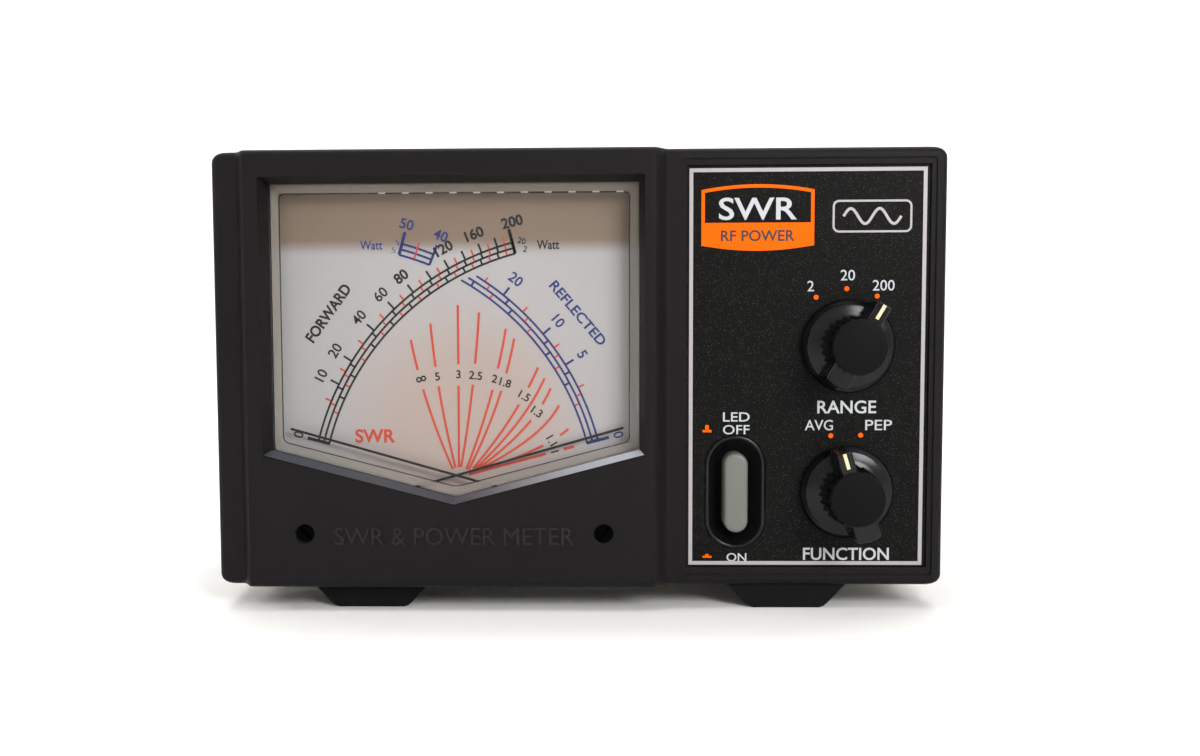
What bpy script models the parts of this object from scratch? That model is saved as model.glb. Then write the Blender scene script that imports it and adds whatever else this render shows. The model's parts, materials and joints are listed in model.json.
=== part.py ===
"""Desktop SWR and power meter with a cross-needle movement.

Sizes are in millimetres and are turned to metres where meshes are made. The frame has
+X to the right as the user sees the front, +Y away from the user and +Z up. Depths are
counted from the plane of the front rim, and one empty moves the whole instrument so that
its origin lies under the middle of its bounding box, on the surface that the feet touch.
"""

import math

import bmesh
import bpy
from mathutils import Matrix, Vector

MM = 0.001
GAP = 0.3  # clearance between pieces that touch in the real instrument

# Case
BODY_WIDTH = 165.0
BODY_HEIGHT = 98.6
CASE_DEPTH = 78.0
FOOT_HEIGHT = 5.5
CORNER_RADIUS = 2.5
RIM_RADIUS = 1.6
BEZEL_DEPTH = 14.0
BEZEL_WALL = 2.6
SHEET = 1.0  # steel of the cover, the chassis and the rear panel
CHASSIS_FLANGE = 12.0

# Raised block round the meter
BLOCK_RISE = 3.6
BLOCK_LEFT = -75.5
BLOCK_RIGHT = 19.0
BLOCK_SLOPE = 3.0
BLOCK_SKIN = 2.5

# Window opening, a rectangle whose lower edge runs down to a point in the middle
WINDOW_X = -27.9
WINDOW_WIDTH = 84.0
WINDOW_TOP = 91.5
WINDOW_SHOULDER = 31.0
WINDOW_TIP = 20.0
WINDOW_DRAFT = 1.1
WINDOW_SET_BACK = 4.7
COLLAR = 2.0
GLASS = 1.8
GLASS_WALL = 2.1
FLANGE = 1.2
FLANGE_MARGIN = 3.0

# Dial and needles
PIVOT_SPREAD = 58.2
PIVOT_HEIGHT = 16.4
DIAL_FACE = 7.0  # depth behind the front rim
DIAL_THICKNESS = 0.8
DIAL_MARGIN = 0.8
NEEDLE_LENGTH = 70.3
NEEDLE_TAIL = 7.5
NEEDLE_WIDTH = 0.55
NEEDLE_THICKNESS = 0.3
NEEDLE_STEP_START = 7.5
NEEDLE_STEP_END = 10.0
NEEDLE_REST = 15.85  # degrees above the horizontal
NEEDLE_SWEEP = 60.0
FORWARD_PLANE = 4.4
REFLECTED_PLANE = 5.3
HUB_RADIUS = 2.2

# Zero adjusters
ZERO_SPREAD = 67.6
ZERO_HEIGHT = 12.4
ZERO_HOLE_RADIUS = 2.1
ZERO_HEAD_SET_BACK = 0.9
ZERO_HEAD = 2.0
ZERO_PIN_OFFSET = 0.8
ZERO_PIN_RADIUS = 0.5
LEVER_THICKNESS = 0.5
LEVER_WIDTH = 3.2
LEVER_EYE = 2.6

# Meter movement
YOKE_RADIUS = 11.0
YOKE_WALL = 2.5
YOKE_LENGTH = 10.0
CORE_RADIUS = 6.0
COIL_GAP = 0.5
COIL_BAR = 0.8
COIL_WIDTH = 3.4
BRIDGE_THICKNESS = 0.8
BRIDGE_WIDTH = 3.0
HOUSING_WALL = 1.6
HOUSING_DEPTH = 19.0
WIRE = 0.12
SPRING_TURNS = 3
SPRING_START = 1.2
SPRING_END = 3.6
WEB_WIDTH = 2.4
LAMPS = 6

# Control panel
RECESS_LEFT = 24.0
RECESS_RIGHT = 79.8
RECESS_BOTTOM = 4.0
RECESS_TOP = 96.0
RECESS_DEPTH = 1.0
PANEL_THICKNESS = 1.0

# Rotary controls
CONTROL_X = 60.8
RANGE_HEIGHT = 54.4
FUNCTION_HEIGHT = 21.4
RANGE_ANGLE = 30.5
FUNCTION_ANGLE = -17.0
KNOB_LIFT = 0.4
FLANGE_RADIUS = 10.5
SKIRT_RADIUS = 9.4
DRUM_RADIUS = 6.4
DRUM_HEIGHT = 12.6
FLUTES = 24
FLUTE_DEPTH = 0.4
BAR_HEIGHT = 12.3
POINTER_WIDTH = 3.4
POINTER_REACH = 10.6
TAIL_WIDTH = 5.6
TAIL_REACH = 9.6
CAP_HEIGHT = 0.5
LINE_WIDTH = 0.75
LINE_LENGTH = 3.3
LINE_DEPTH = 0.4
SHAFT_RADIUS = 3.0
SHAFT_FIT = 0.05
SHAFT_SET_BACK = 4.0  # of the shaft's end behind the front of the drum
GRIP_BACK = 3.0
BAR_BACK = 1.3
SKIRT_TOP = 2.4
SKIRT_SLOPE_TOP = 3.7
CAP_SEAT = 1.0
BUSH_RADIUS = 4.5
BUSH_REACH = 5.0
NUT_THICKNESS = 2.0
NUT_RADIUS = 6.3
SWITCH_RADIUS = 12.5
SWITCH_DEPTH = 14.0

# Lamp button
BUTTON_X = 35.8
BUTTON_HEIGHT = 21.3
BUTTON_WIDTH = 5.4
BUTTON_LENGTH = 17.8
BUTTON_PROUD = 2.4
BUTTON_TRAVEL = 3.0
BUTTON_STEM = 3.0
LAMP_SWITCH_WIDTH = 8.0
LAMP_SWITCH_HEIGHT = 12.0
LAMP_SWITCH_DEPTH = 14.0
OVAL_WIDTH = 13.2
OVAL_LENGTH = 25.6
OVAL_LIP = 0.4
DISH_DEPTH = 2.6

# Rear and inside
SOCKET_SPACING = 45.0
SOCKET_X = 22.0
SOCKET_HEIGHT = 62.0
SOCKET_FLANGE = 25.4
SOCKET_PLATE = 1.6
SOCKET_BARREL = 17.0
SOCKET_RADIUS = 7.9
SOCKET_BORE = 5.8
SOCKET_CAVITY = 8.0
CONTACT_RADIUS = 2.9
CONTACT_BORE = 2.0
COUPLER_LENGTH = 78.0
COUPLER_HEIGHT = 30.0
COUPLER_DEPTH = 24.0
COUPLER_LINE = 1.6
COUPLER_LINE_HEIGHT = 4.0
CONTACT_SET_BACK = 2.0
CONTACT_HOLE = 9.0
JACK_X = -45.0
JACK_HEIGHT = 20.0
JACK_RADIUS = 5.5
JACK_BORE = 3.1
JACK_PIN = 1.0
JACK_LENGTH = 12.0
JACK_PROUD = 1.5
BOARD_THICKNESS = 1.6

# Feet and screws
FOOT_SPACING = 95.4
FRONT_FOOT = 1.8  # depth of the front feet's front faces
REAR_FOOT = 62.0
FOOT_TOP = 27.6
FOOT_BOTTOM = 17.8
FOOT_LENGTH = 12.0
FOOT_EDGE = 0.6
SCREW_HEAD_RADIUS = 2.9
SCREW_HEAD = 1.5
SCREW_RADIUS = 1.5
SCREW_LENGTH = 6.0

# Positions that follow from the sizes above
BODY_BOTTOM = FOOT_HEIGHT
BODY_TOP = FOOT_HEIGHT + BODY_HEIGHT
HALF_WIDTH = BODY_WIDTH / 2
BLOCK_FRONT = -BLOCK_RISE
GLASS_FRONT = BLOCK_FRONT + WINDOW_SET_BACK
FLANGE_FRONT = BEZEL_WALL + GAP
FLANGE_BACK = FLANGE_FRONT + FLANGE
LEVER_FRONT = FLANGE_BACK + GAP
BRIDGE_FRONT = LEVER_FRONT + LEVER_THICKNESS + GAP
NEEDLE_BASE = 8.1
COIL_FRONT = NEEDLE_BASE + NEEDLE_THICKNESS
CORE_FRONT = COIL_FRONT + COIL_BAR + COIL_GAP
HOUSING_FRONT = DIAL_FACE + DIAL_THICKNESS + GAP
PANEL_FACE = RECESS_DEPTH
KNOB_BACK = PANEL_FACE - KNOB_LIFT
KNOB_FRONT = KNOB_BACK - DRUM_HEIGHT - CAP_HEIGHT
SWITCH_FRONT = BEZEL_WALL + RECESS_DEPTH + PANEL_THICKNESS + 2 * GAP
REAR_FACE = CASE_DEPTH
REAR_END = REAR_FACE + GAP + SOCKET_PLATE + SOCKET_BARREL
ORIGIN_SHIFT = -(KNOB_FRONT + REAR_END) / 2
STEPS = 24  # sides of a small round piece


# ---------------------------------------------------------------- scene and materials

def clear_scene():
    for obj in list(bpy.data.objects):
        bpy.data.objects.remove(obj, do_unlink=True)


def new_collection(name):
    collection = bpy.data.collections.new(name)
    bpy.context.scene.collection.children.link(collection)
    return collection


def new_material(name, colour, roughness, metallic=0.0, alpha=1.0):
    material = bpy.data.materials.new(name)
    material.use_nodes = True
    shader = material.node_tree.nodes["Principled BSDF"]
    shader.inputs["Base Color"].default_value = (*colour, 1.0)
    shader.inputs["Roughness"].default_value = roughness
    shader.inputs["Metallic"].default_value = metallic
    shader.inputs["Alpha"].default_value = alpha
    return material


def new_empty(name, x, y, z, parent=None):
    """An empty at a place given from the front rim, under the parent that moves it."""
    empty = bpy.data.objects.new(name, None)
    PARTS.objects.link(empty)
    place(empty, (x, y, z), parent)
    return empty


def place(obj, at, parent):
    """Parents the object and sets its location so that its origin lies at `at`."""
    start = PLACES.get(parent, Vector((0.0, 0.0, 0.0)))
    PLACES[obj] = Vector(at)
    obj.parent = parent
    obj.location = (Vector(at) - start) * MM


# ---------------------------------------------------------------- outlines, drawn as seen

def circle(radius, steps=STEPS, x=0.0, z=0.0):
    turns = (2 * math.pi * i / steps for i in range(steps))
    return [(x + radius * math.cos(t), z + radius * math.sin(t)) for t in turns]


def rounded_box(left, right, bottom, top, radius, steps=4):
    corners = ((right - radius, top - radius, 0), (left + radius, top - radius, 90),
               (left + radius, bottom + radius, 180), (right - radius, bottom + radius, 270))
    points = []
    for x, z, start in corners:
        for i in range(steps + 1):
            turn = math.radians(start + 90 * i / steps)
            points.append((x + radius * math.cos(turn), z + radius * math.sin(turn)))
    return points


def rectangle(left, right, bottom, top):
    return [(right, top), (left, top), (left, bottom), (right, bottom)]


def window_outline(inset):
    """The window's five-sided outline, moved in by `inset` (out when it is negative)."""
    half = WINDOW_WIDTH / 2
    slope = math.atan2(WINDOW_SHOULDER - WINDOW_TIP, half)
    drop = inset / math.cos(slope)
    side = half - inset
    tip = WINDOW_TIP + drop
    shoulder = tip + side * math.tan(slope)
    top = WINDOW_TOP - inset
    points = ((side, top), (-side, top), (-side, shoulder), (0.0, tip), (side, shoulder))
    return [(WINDOW_X + x, BODY_BOTTOM + z) for x, z in points]


# ---------------------------------------------------------------- solids

def finish_mesh(bm, name, material, at, parent, collection, turn=0.0, facing=True):
    """Makes the object. A facing piece is drawn with its local Z towards the user."""
    bmesh.ops.recalc_face_normals(bm, faces=bm.faces)
    bmesh.ops.scale(bm, vec=(MM, MM, MM), verts=bm.verts)
    mesh = bpy.data.meshes.new(name)
    bm.to_mesh(mesh)
    bm.free()
    mesh.shade_smooth()
    mesh.set_sharp_from_angle(angle=math.radians(30))
    obj = bpy.data.objects.new(name, mesh)
    obj.data.materials.append(material)
    collection.objects.link(obj)
    place(obj, at, parent)
    if facing:
        obj.rotation_euler = (math.pi / 2, math.radians(turn), 0.0)
    if collection is CUTTERS:
        obj.hide_render = True
        obj.display_type = "WIRE"
    return obj


def slab(name, outline, front, back, material, at=(0.0, 0.0), parent=None, collection=None,
         turn=0.0):
    """A flat outline, extruded from depth front to back."""
    bm = bmesh.new()
    face = bm.faces.new([bm.verts.new((x, z, 0.0)) for x, z in outline])
    made = bmesh.ops.extrude_face_region(bm, geom=[face])
    verts = [item for item in made["geom"] if isinstance(item, bmesh.types.BMVert)]
    bmesh.ops.translate(bm, vec=(0.0, 0.0, back - front), verts=verts)
    return finish_mesh(bm, name, material, (at[0], back, at[1]), parent or ROOT,
                       collection or PARTS, turn)


def tapered_cutter(name, front_outline, back_outline, front, back, at=(0.0, 0.0)):
    """A cutter that narrows between two outlines with as many points each."""
    bm = bmesh.new()
    loops = []
    for outline, height in ((front_outline, back - front), (back_outline, 0.0)):
        verts = [bm.verts.new((x, z, height)) for x, z in outline]
        loops += [bm.edges.new((a, b)) for a, b in zip(verts, verts[1:] + verts[:1])]
        bm.faces.new(verts)
    bmesh.ops.bridge_loops(bm, edges=loops)
    return finish_mesh(bm, name, CUTTER_FINISH, (at[0], back, at[1]), ROOT, CUTTERS)


def block(name, left, right, front, back, bottom, top, material, at=(0.0, 0.0)):
    """A box given by its six faces."""
    bm = bmesh.new()
    bmesh.ops.create_cube(bm, size=1.0)
    bmesh.ops.scale(bm, vec=(right - left, back - front, top - bottom), verts=bm.verts)
    middle = (at[0] + (left + right) / 2, (front + back) / 2, at[1] + (bottom + top) / 2)
    return finish_mesh(bm, name, material, middle, ROOT, PARTS, facing=False)


def cutter(name, outline, front, back, **options):
    return slab(name, outline, front, back, CUTTER_FINISH, collection=CUTTERS, **options)


def boolean(obj, other, operation):
    modifier = obj.modifiers.new(f"{operation.lower()} {other.name}", "BOOLEAN")
    modifier.operation = operation
    modifier.object = other
    modifier.solver = "EXACT"


def cut(obj, *others):
    for other in others:
        boolean(obj, other, "DIFFERENCE")


def join(obj, *others):
    for other in others:
        boolean(obj, other, "UNION")


def bevel(obj, width, segments=2, angle=40.0):
    modifier = obj.modifiers.new("bevel", "BEVEL")
    modifier.width = width * MM
    modifier.segments = segments
    modifier.limit_method = "ANGLE"
    modifier.angle_limit = math.radians(angle)


def turned(name, profile, depth, material, at, parent=None, collection=None, steps=STEPS, turn=0.0):
    """A turned piece. The profile is (radius, height) down its outer side, front to back,
    and it starts and ends on the axis. Height grows towards the user from `depth`."""
    bm = bmesh.new()
    verts = [bm.verts.new((radius, 0.0, height)) for radius, height in profile]
    for first, second in zip(verts, verts[1:]):
        bm.edges.new((first, second))
    bmesh.ops.scale(bm, vec=(MM, MM, MM), verts=bm.verts)
    mesh = bpy.data.meshes.new(name)
    bm.to_mesh(mesh)
    bm.free()
    obj = bpy.data.objects.new(name, mesh)
    obj.data.materials.append(material)
    target = collection or PARTS
    target.objects.link(obj)
    place(obj, (at[0], depth, at[1]), parent or ROOT)
    obj.rotation_euler = (math.pi / 2, math.radians(turn), 0.0)
    screw = obj.modifiers.new("turn", "SCREW")
    screw.axis = "Z"
    screw.steps = steps
    screw.render_steps = steps
    screw.use_merge_vertices = True
    screw.merge_threshold = 0.00001
    if target is CUTTERS:
        obj.hide_render = True
        obj.display_type = "WIRE"
    return obj


def pin(name, radius, front, back, material, at, **options):
    """A plain round piece from depth front to back."""
    length = back - front
    profile = ((0.0, length), (radius, length), (radius, 0.0), (0.0, 0.0))
    return turned(name, profile, back, material, at, **options)


def wire(name, points, radius, material, parent):
    """A round wire through the points, which are places given from the front rim."""
    curve = bpy.data.curves.new(name, "CURVE")
    curve.dimensions = "3D"
    curve.bevel_depth = radius * MM
    curve.bevel_resolution = 1
    curve.use_fill_caps = True
    spline = curve.splines.new("POLY")
    spline.points.add(len(points) - 1)
    start = PLACES[parent]
    for point, at in zip(spline.points, points):
        point.co = (*((Vector(at) - start) * MM), 1.0)
    obj = bpy.data.objects.new(name, curve)
    obj.data.materials.append(material)
    PARTS.objects.link(obj)
    place(obj, start, parent)
    return obj


# ---------------------------------------------------------------- case

def front_bezel():
    """The front moulding: a rim with rounded edges, the raised meter block and its recesses."""
    outline = rounded_box(-HALF_WIDTH, HALF_WIDTH, BODY_BOTTOM, BODY_TOP, CORNER_RADIUS)
    bezel = slab("front_bezel", outline, 0.0, BEZEL_DEPTH, BLACK_ABS)
    round_front_edge(bezel)
    join(bezel, meter_block())
    inner = cutter("bezel_inside", rectangle(-HALF_WIDTH + BEZEL_WALL, HALF_WIDTH - BEZEL_WALL,
                                             BODY_BOTTOM + BEZEL_WALL, BODY_TOP - BEZEL_WALL),
                   SWITCH_FRONT - GAP, BEZEL_DEPTH + 1.0)
    meter_side = cutter("bezel_meter_inside",
                        rectangle(-HALF_WIDTH + BEZEL_WALL, RECESS_LEFT - BEZEL_WALL / 2,
                                  BODY_BOTTOM + BEZEL_WALL, BODY_TOP - BEZEL_WALL),
                        BEZEL_WALL, BEZEL_DEPTH + 1.0)
    core = cutter("block_inside", rectangle(BLOCK_LEFT + BLOCK_SKIN, BLOCK_RIGHT - BLOCK_SKIN,
                                            BODY_BOTTOM + BEZEL_WALL, BODY_TOP - BEZEL_WALL),
                  BLOCK_FRONT + BLOCK_SKIN, BEZEL_WALL + 1.0)
    collar = cutter("window_collar", window_outline(-COLLAR - WINDOW_DRAFT),
                    BLOCK_FRONT, BEZEL_WALL)
    cut(core, collar)
    window = tapered_cutter("window_opening", window_outline(-WINDOW_DRAFT - 0.2),
                            window_outline(0.2), BLOCK_FRONT - 1.0, GLASS_FRONT + 1.0)
    seat = cutter("window_seat", window_outline(0.0), GLASS_FRONT - 0.5, BEZEL_WALL + 1.0)
    panel = cutter("panel_recess", rectangle(RECESS_LEFT, RECESS_RIGHT, BODY_BOTTOM + RECESS_BOTTOM,
                                             BODY_BOTTOM + RECESS_TOP),
                   -1.0, RECESS_DEPTH + PANEL_THICKNESS + GAP)
    cut(bezel, inner, meter_side, core, window, seat, panel)
    for side, name in ((1, "forward"), (-1, "reflected")):
        cut(bezel, cutter(f"{name}_zero_hole", circle(ZERO_HOLE_RADIUS), BLOCK_FRONT - 1.0,
                          BEZEL_WALL + 1.0, at=zero_place(side)))
    cut(bezel, *control_holes("bezel"))


def round_front_edge(obj):
    """Rounds the edge between the front face and the sides of a slab."""
    bm = bmesh.new()
    bm.from_mesh(obj.data)
    front = max(vert.co.z for vert in bm.verts)
    edges = [edge for edge in bm.edges if all(abs(v.co.z - front) < 1e-6 for v in edge.verts)]
    bmesh.ops.bevel(bm, geom=edges, offset=RIM_RADIUS * MM, segments=3, profile=0.5,
                    affect="EDGES", clamp_overlap=True)
    bm.to_mesh(obj.data)
    bm.free()


def meter_block():
    """The raised block, drawn as seen from above and stood up along the full height."""
    slope = BLOCK_SLOPE / 2
    low = -0.15 * BLOCK_RISE
    high = -0.85 * BLOCK_RISE
    shape = [(BLOCK_LEFT - slope, RIM_RADIUS), (BLOCK_LEFT - slope, 0.0),
             (BLOCK_LEFT - slope / 2, low), (BLOCK_LEFT + slope / 2, high),
             (BLOCK_LEFT + slope, BLOCK_FRONT), (BLOCK_RIGHT - slope, BLOCK_FRONT),
             (BLOCK_RIGHT - slope / 2, high), (BLOCK_RIGHT + slope / 2, low),
             (BLOCK_RIGHT + slope, 0.0), (BLOCK_RIGHT + slope, RIM_RADIUS)]
    bm = bmesh.new()
    face = bm.faces.new([bm.verts.new((x, depth, BODY_BOTTOM)) for x, depth in shape])
    made = bmesh.ops.extrude_face_region(bm, geom=[face])
    verts = [item for item in made["geom"] if isinstance(item, bmesh.types.BMVert)]
    bmesh.ops.translate(bm, vec=(0.0, 0.0, BODY_HEIGHT), verts=verts)
    ends = [e for e in bm.edges if e.verts[0].co.z == e.verts[1].co.z
            and max(v.co.y for v in e.verts) <= 0.0]
    bmesh.ops.bevel(bm, geom=ends, offset=RIM_RADIUS / 2, segments=2, profile=0.5, affect="EDGES",
                    clamp_overlap=True)
    return finish_mesh(bm, "meter_block", CUTTER_FINISH, (0.0, 0.0, 0.0), ROOT, CUTTERS,
                       facing=False)


def control_holes(owner):
    """Cutters for the two switch bushes and the lamp button's oval."""
    depth = SWITCH_FRONT + 1.0
    holes = []
    for name, height in (("range", RANGE_HEIGHT), ("function", FUNCTION_HEIGHT)):
        holes.append(cutter(f"{owner}_{name}_hole", circle(BUSH_RADIUS + GAP), -1.0, depth,
                            at=(CONTROL_X, BODY_BOTTOM + height)))
    half_width = OVAL_WIDTH / 2 + GAP
    half_length = OVAL_LENGTH / 2 + GAP
    holes.append(cutter(f"{owner}_oval_hole",
                        rounded_box(-half_width, half_width, -half_length, half_length, half_width, 6),
                        -1.0, depth, at=(BUTTON_X, BODY_BOTTOM + BUTTON_HEIGHT)))
    return holes


def control_panel():
    """The printed metal plate that lies in the recess on the right."""
    outline = rectangle(RECESS_LEFT + GAP, RECESS_RIGHT - GAP, BODY_BOTTOM + RECESS_BOTTOM + GAP,
                        BODY_BOTTOM + RECESS_TOP - GAP)
    panel = slab("control_panel", outline, PANEL_FACE, PANEL_FACE + PANEL_THICKNESS, PRINTED_PLATE)
    cut(panel, *control_holes("panel"))


def sheet_channel(name, outer, front, back, material):
    """A bent sheet: the outline given by its outer points, thickened inwards."""
    curve_points = outer + inner_side(outer, SHEET)
    return slab(name, curve_points, front, back, material)


def inner_side(outer, thickness):
    """The outer line's points moved to its right-hand side, in reverse order."""
    moved = []
    for i, (x, z) in enumerate(outer):
        before = outer[max(i - 1, 0)]
        after = outer[min(i + 1, len(outer) - 1)]
        first = Vector((x - before[0], z - before[1]))
        second = Vector((after[0] - x, after[1] - z))
        first = first.normalized() if first.length else second.normalized()
        second = second.normalized() if second.length else first
        normal = Vector((first.y + second.y, -first.x - second.x)).normalized()
        reach = thickness / max(normal.dot(Vector((first.y, -first.x))), 0.5)
        moved.append((x + normal.x * reach, z + normal.y * reach))
    return moved[::-1]


def top_cover():
    """The steel wrap over the top and both sides, held by a screw in each lower corner."""
    radius = CORNER_RADIUS
    outer = [(-HALF_WIDTH, BODY_BOTTOM + GAP), (-HALF_WIDTH, BODY_TOP - radius)]
    for i in range(1, 4):
        turn = math.radians(180 - 90 * i / 4)
        outer.append((-HALF_WIDTH + radius + radius * math.cos(turn),
                      BODY_TOP - radius + radius * math.sin(turn)))
    outer.append((-HALF_WIDTH + radius, BODY_TOP))
    outer += [(-x, z) for x, z in reversed(outer)]
    cover = sheet_channel("top_cover", outer, BEZEL_DEPTH + GAP, REAR_FACE - SHEET - GAP,
                          BLACK_STEEL)
    for name, side, depth in screw_places():
        hole = side_pin(f"{name}_cover_hole", SCREW_RADIUS + GAP, side * (HALF_WIDTH - 3.0),
                        side * (HALF_WIDTH + 3.0), depth, CUTTERS, CUTTER_FINISH)
        cut(cover, hole)


def chassis_base():
    """The bottom plate with a flange up each side."""
    side = HALF_WIDTH - SHEET - GAP
    outer = [(side, BODY_BOTTOM + CHASSIS_FLANGE), (side, BODY_BOTTOM),
             (-side, BODY_BOTTOM), (-side, BODY_BOTTOM + CHASSIS_FLANGE)]
    base = sheet_channel("chassis_base", outer, BEZEL_DEPTH + GAP, REAR_FACE - SHEET - GAP,
                         ZINC_STEEL)
    for name, side_sign, depth in screw_places():
        hole = side_pin(f"{name}_base_hole", SCREW_RADIUS + GAP, side_sign * (HALF_WIDTH - 5.0),
                        side_sign * (HALF_WIDTH + 3.0), depth, CUTTERS, CUTTER_FINISH)
        cut(base, hole)


def screw_places():
    """Name, side and depth of the four screws that hold the cover to the chassis."""
    places = []
    for row, depth in (("front", BEZEL_DEPTH + 10.0), ("rear", REAR_FACE - 10.0)):
        for column, side in (("left", -1), ("right", 1)):
            places.append((f"{row}_{column}", side, depth))
    return places


def side_pin(name, radius, start, end, depth, collection, material):
    """A round bar along X between two distances, on the height of the cover screws."""
    bm = bmesh.new()
    bmesh.ops.create_cone(bm, cap_ends=True, segments=16, radius1=radius, radius2=radius,
                          depth=abs(end - start),
                          matrix=Matrix.Rotation(math.pi / 2, 4, "Y"))
    at = ((start + end) / 2, depth, BODY_BOTTOM + CHASSIS_FLANGE / 2)
    return finish_mesh(bm, name, material, at, ROOT, collection, facing=False)


def cover_screws():
    """Pan-head screws: a head outside the cover, joined to its threaded shank."""
    for name, side, depth in screw_places():
        face = HALF_WIDTH + GAP
        screw = side_pin(f"cover_screw_{name}", SCREW_HEAD_RADIUS, side * face,
                         side * (face + SCREW_HEAD), depth, PARTS, BRIGHT_STEEL)
        shank = side_pin(f"{name}_shank", SCREW_RADIUS, side * (face + SCREW_HEAD / 2),
                         side * (face - SCREW_LENGTH), depth, CUTTERS, CUTTER_FINISH)
        join(screw, shank)


def rear_panel():
    """The back plate with openings for the two coaxial sockets and the supply jack."""
    outline = rounded_box(-HALF_WIDTH, HALF_WIDTH, BODY_BOTTOM, BODY_TOP, CORNER_RADIUS)
    panel = slab("rear_panel", outline, REAR_FACE - SHEET, REAR_FACE, BLACK_STEEL)
    for name, x in socket_places():
        cut(panel, cutter(f"{name}_panel_hole", circle(SOCKET_RADIUS + GAP), REAR_FACE - 3.0,
                          REAR_FACE + 1.0, at=(x, BODY_BOTTOM + SOCKET_HEIGHT)))
    cut(panel, cutter("jack_panel_hole", circle(JACK_RADIUS + GAP), REAR_FACE - 3.0,
                      REAR_FACE + 1.0, at=(JACK_X, BODY_BOTTOM + JACK_HEIGHT)))


def feet():
    """Four tapered rubber feet: two under the front moulding and two near the back."""
    top = BODY_BOTTOM - GAP
    outline = [(FOOT_TOP / 2, top), (-FOOT_TOP / 2, top), (-FOOT_BOTTOM / 2, 0.0),
               (FOOT_BOTTOM / 2, 0.0)]
    for row, front in (("front", FRONT_FOOT), ("rear", REAR_FOOT)):
        for column, side in (("left", -1), ("right", 1)):
            foot = slab(f"foot_{row}_{column}", outline, front, front + FOOT_LENGTH, BLACK_RUBBER,
                        at=(side * FOOT_SPACING / 2, 0.0))
            bevel(foot, FOOT_EDGE, segments=1)


# ---------------------------------------------------------------- meter

def pivot_place(side):
    """Place of a needle's pivot: side 1 is the forward needle's, on the right."""
    return (WINDOW_X + side * PIVOT_SPREAD / 2, BODY_BOTTOM + PIVOT_HEIGHT)


def zero_place(side):
    return (WINDOW_X + side * ZERO_SPREAD / 2, BODY_BOTTOM + ZERO_HEIGHT)


def meter_edges(margin):
    """Left, right, bottom and top of the meter behind the bezel, moved in by a margin.

    It is as wide as the window with its flange, or as both yokes with the walls round them.
    """
    half = max(WINDOW_WIDTH / 2 + FLANGE_MARGIN,
               PIVOT_SPREAD / 2 + YOKE_RADIUS + HOUSING_WALL + 2 * GAP)
    return (WINDOW_X - half + margin, WINDOW_X + half - margin,
            BODY_BOTTOM + BEZEL_WALL + GAP + margin,
            BODY_BOTTOM + WINDOW_TOP + FLANGE_MARGIN - margin)


def meter_window():
    """The clear cover: a raised front that fills the window, on a flange behind the bezel."""
    window = slab("meter_window", rectangle(*meter_edges(0.0)), FLANGE_FRONT, FLANGE_BACK, CLEAR)
    raised = cutter("window_raised", window_outline(GAP), GLASS_FRONT, FLANGE_BACK - FLANGE / 2)
    join(window, raised)
    hollow = cutter("window_hollow", window_outline(GLASS_WALL), GLASS_FRONT + GLASS,
                    FLANGE_BACK + 1.0)
    cut(window, hollow)
    for side, name in ((1, "forward"), (-1, "reflected")):
        cut(window, cutter(f"{name}_window_hole", circle(ZERO_HEAD), FLANGE_FRONT - 1.0,
                           FLANGE_BACK + 1.0, at=zero_place(side)))


def dial_plate():
    """The printed dial. Its lower edge follows the window, above the needle pivots."""
    slab("dial_plate", window_outline(-DIAL_MARGIN), DIAL_FACE, DIAL_FACE + DIAL_THICKNESS,
         DIAL_WHITE)


def meter_housing():
    """The white tub behind the dial. Its lower part is open for the two movements."""
    housing = slab("meter_housing", rectangle(*meter_edges(0.0)), HOUSING_FRONT,
                   HOUSING_FRONT + HOUSING_DEPTH, WHITE_ABS)
    cut(housing, cutter("housing_inside", rectangle(*meter_edges(HOUSING_WALL)),
                        HOUSING_FRONT - 1.0, HOUSING_FRONT + HOUSING_DEPTH - HOUSING_WALL))
    for side, name in ((1, "forward"), (-1, "reflected")):
        cut(housing, cutter(f"{name}_bearing_hole", circle(HUB_RADIUS, 12),
                            HOUSING_FRONT + HOUSING_DEPTH - HOUSING_WALL - 1.0,
                            HOUSING_FRONT + HOUSING_DEPTH + 1.0, at=pivot_place(side)))


def backlight_board():
    """A narrow board with a row of lamps, under the roof of the housing."""
    left, right, _, top = meter_edges(HOUSING_WALL + GAP)
    board = block("backlight_board", left + 8.0, right - 8.0, HOUSING_FRONT + 2.0,
                  HOUSING_FRONT + HOUSING_DEPTH - HOUSING_WALL - 2.0, top - BOARD_THICKNESS, top,
                  BOARD_GREEN)
    pitch = (right - left - 24.0) / (LAMPS - 1)
    for i in range(LAMPS):
        x = left + 12.0 + i * pitch
        lamp = cutter(f"lamp_{i + 1}", rectangle(x - 1.5, x + 1.5, top - BOARD_THICKNESS - 1.2,
                                                 top - BOARD_THICKNESS / 2),
                      HOUSING_FRONT + 5.0, HOUSING_FRONT + 8.0)
        join(board, lamp)


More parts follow.
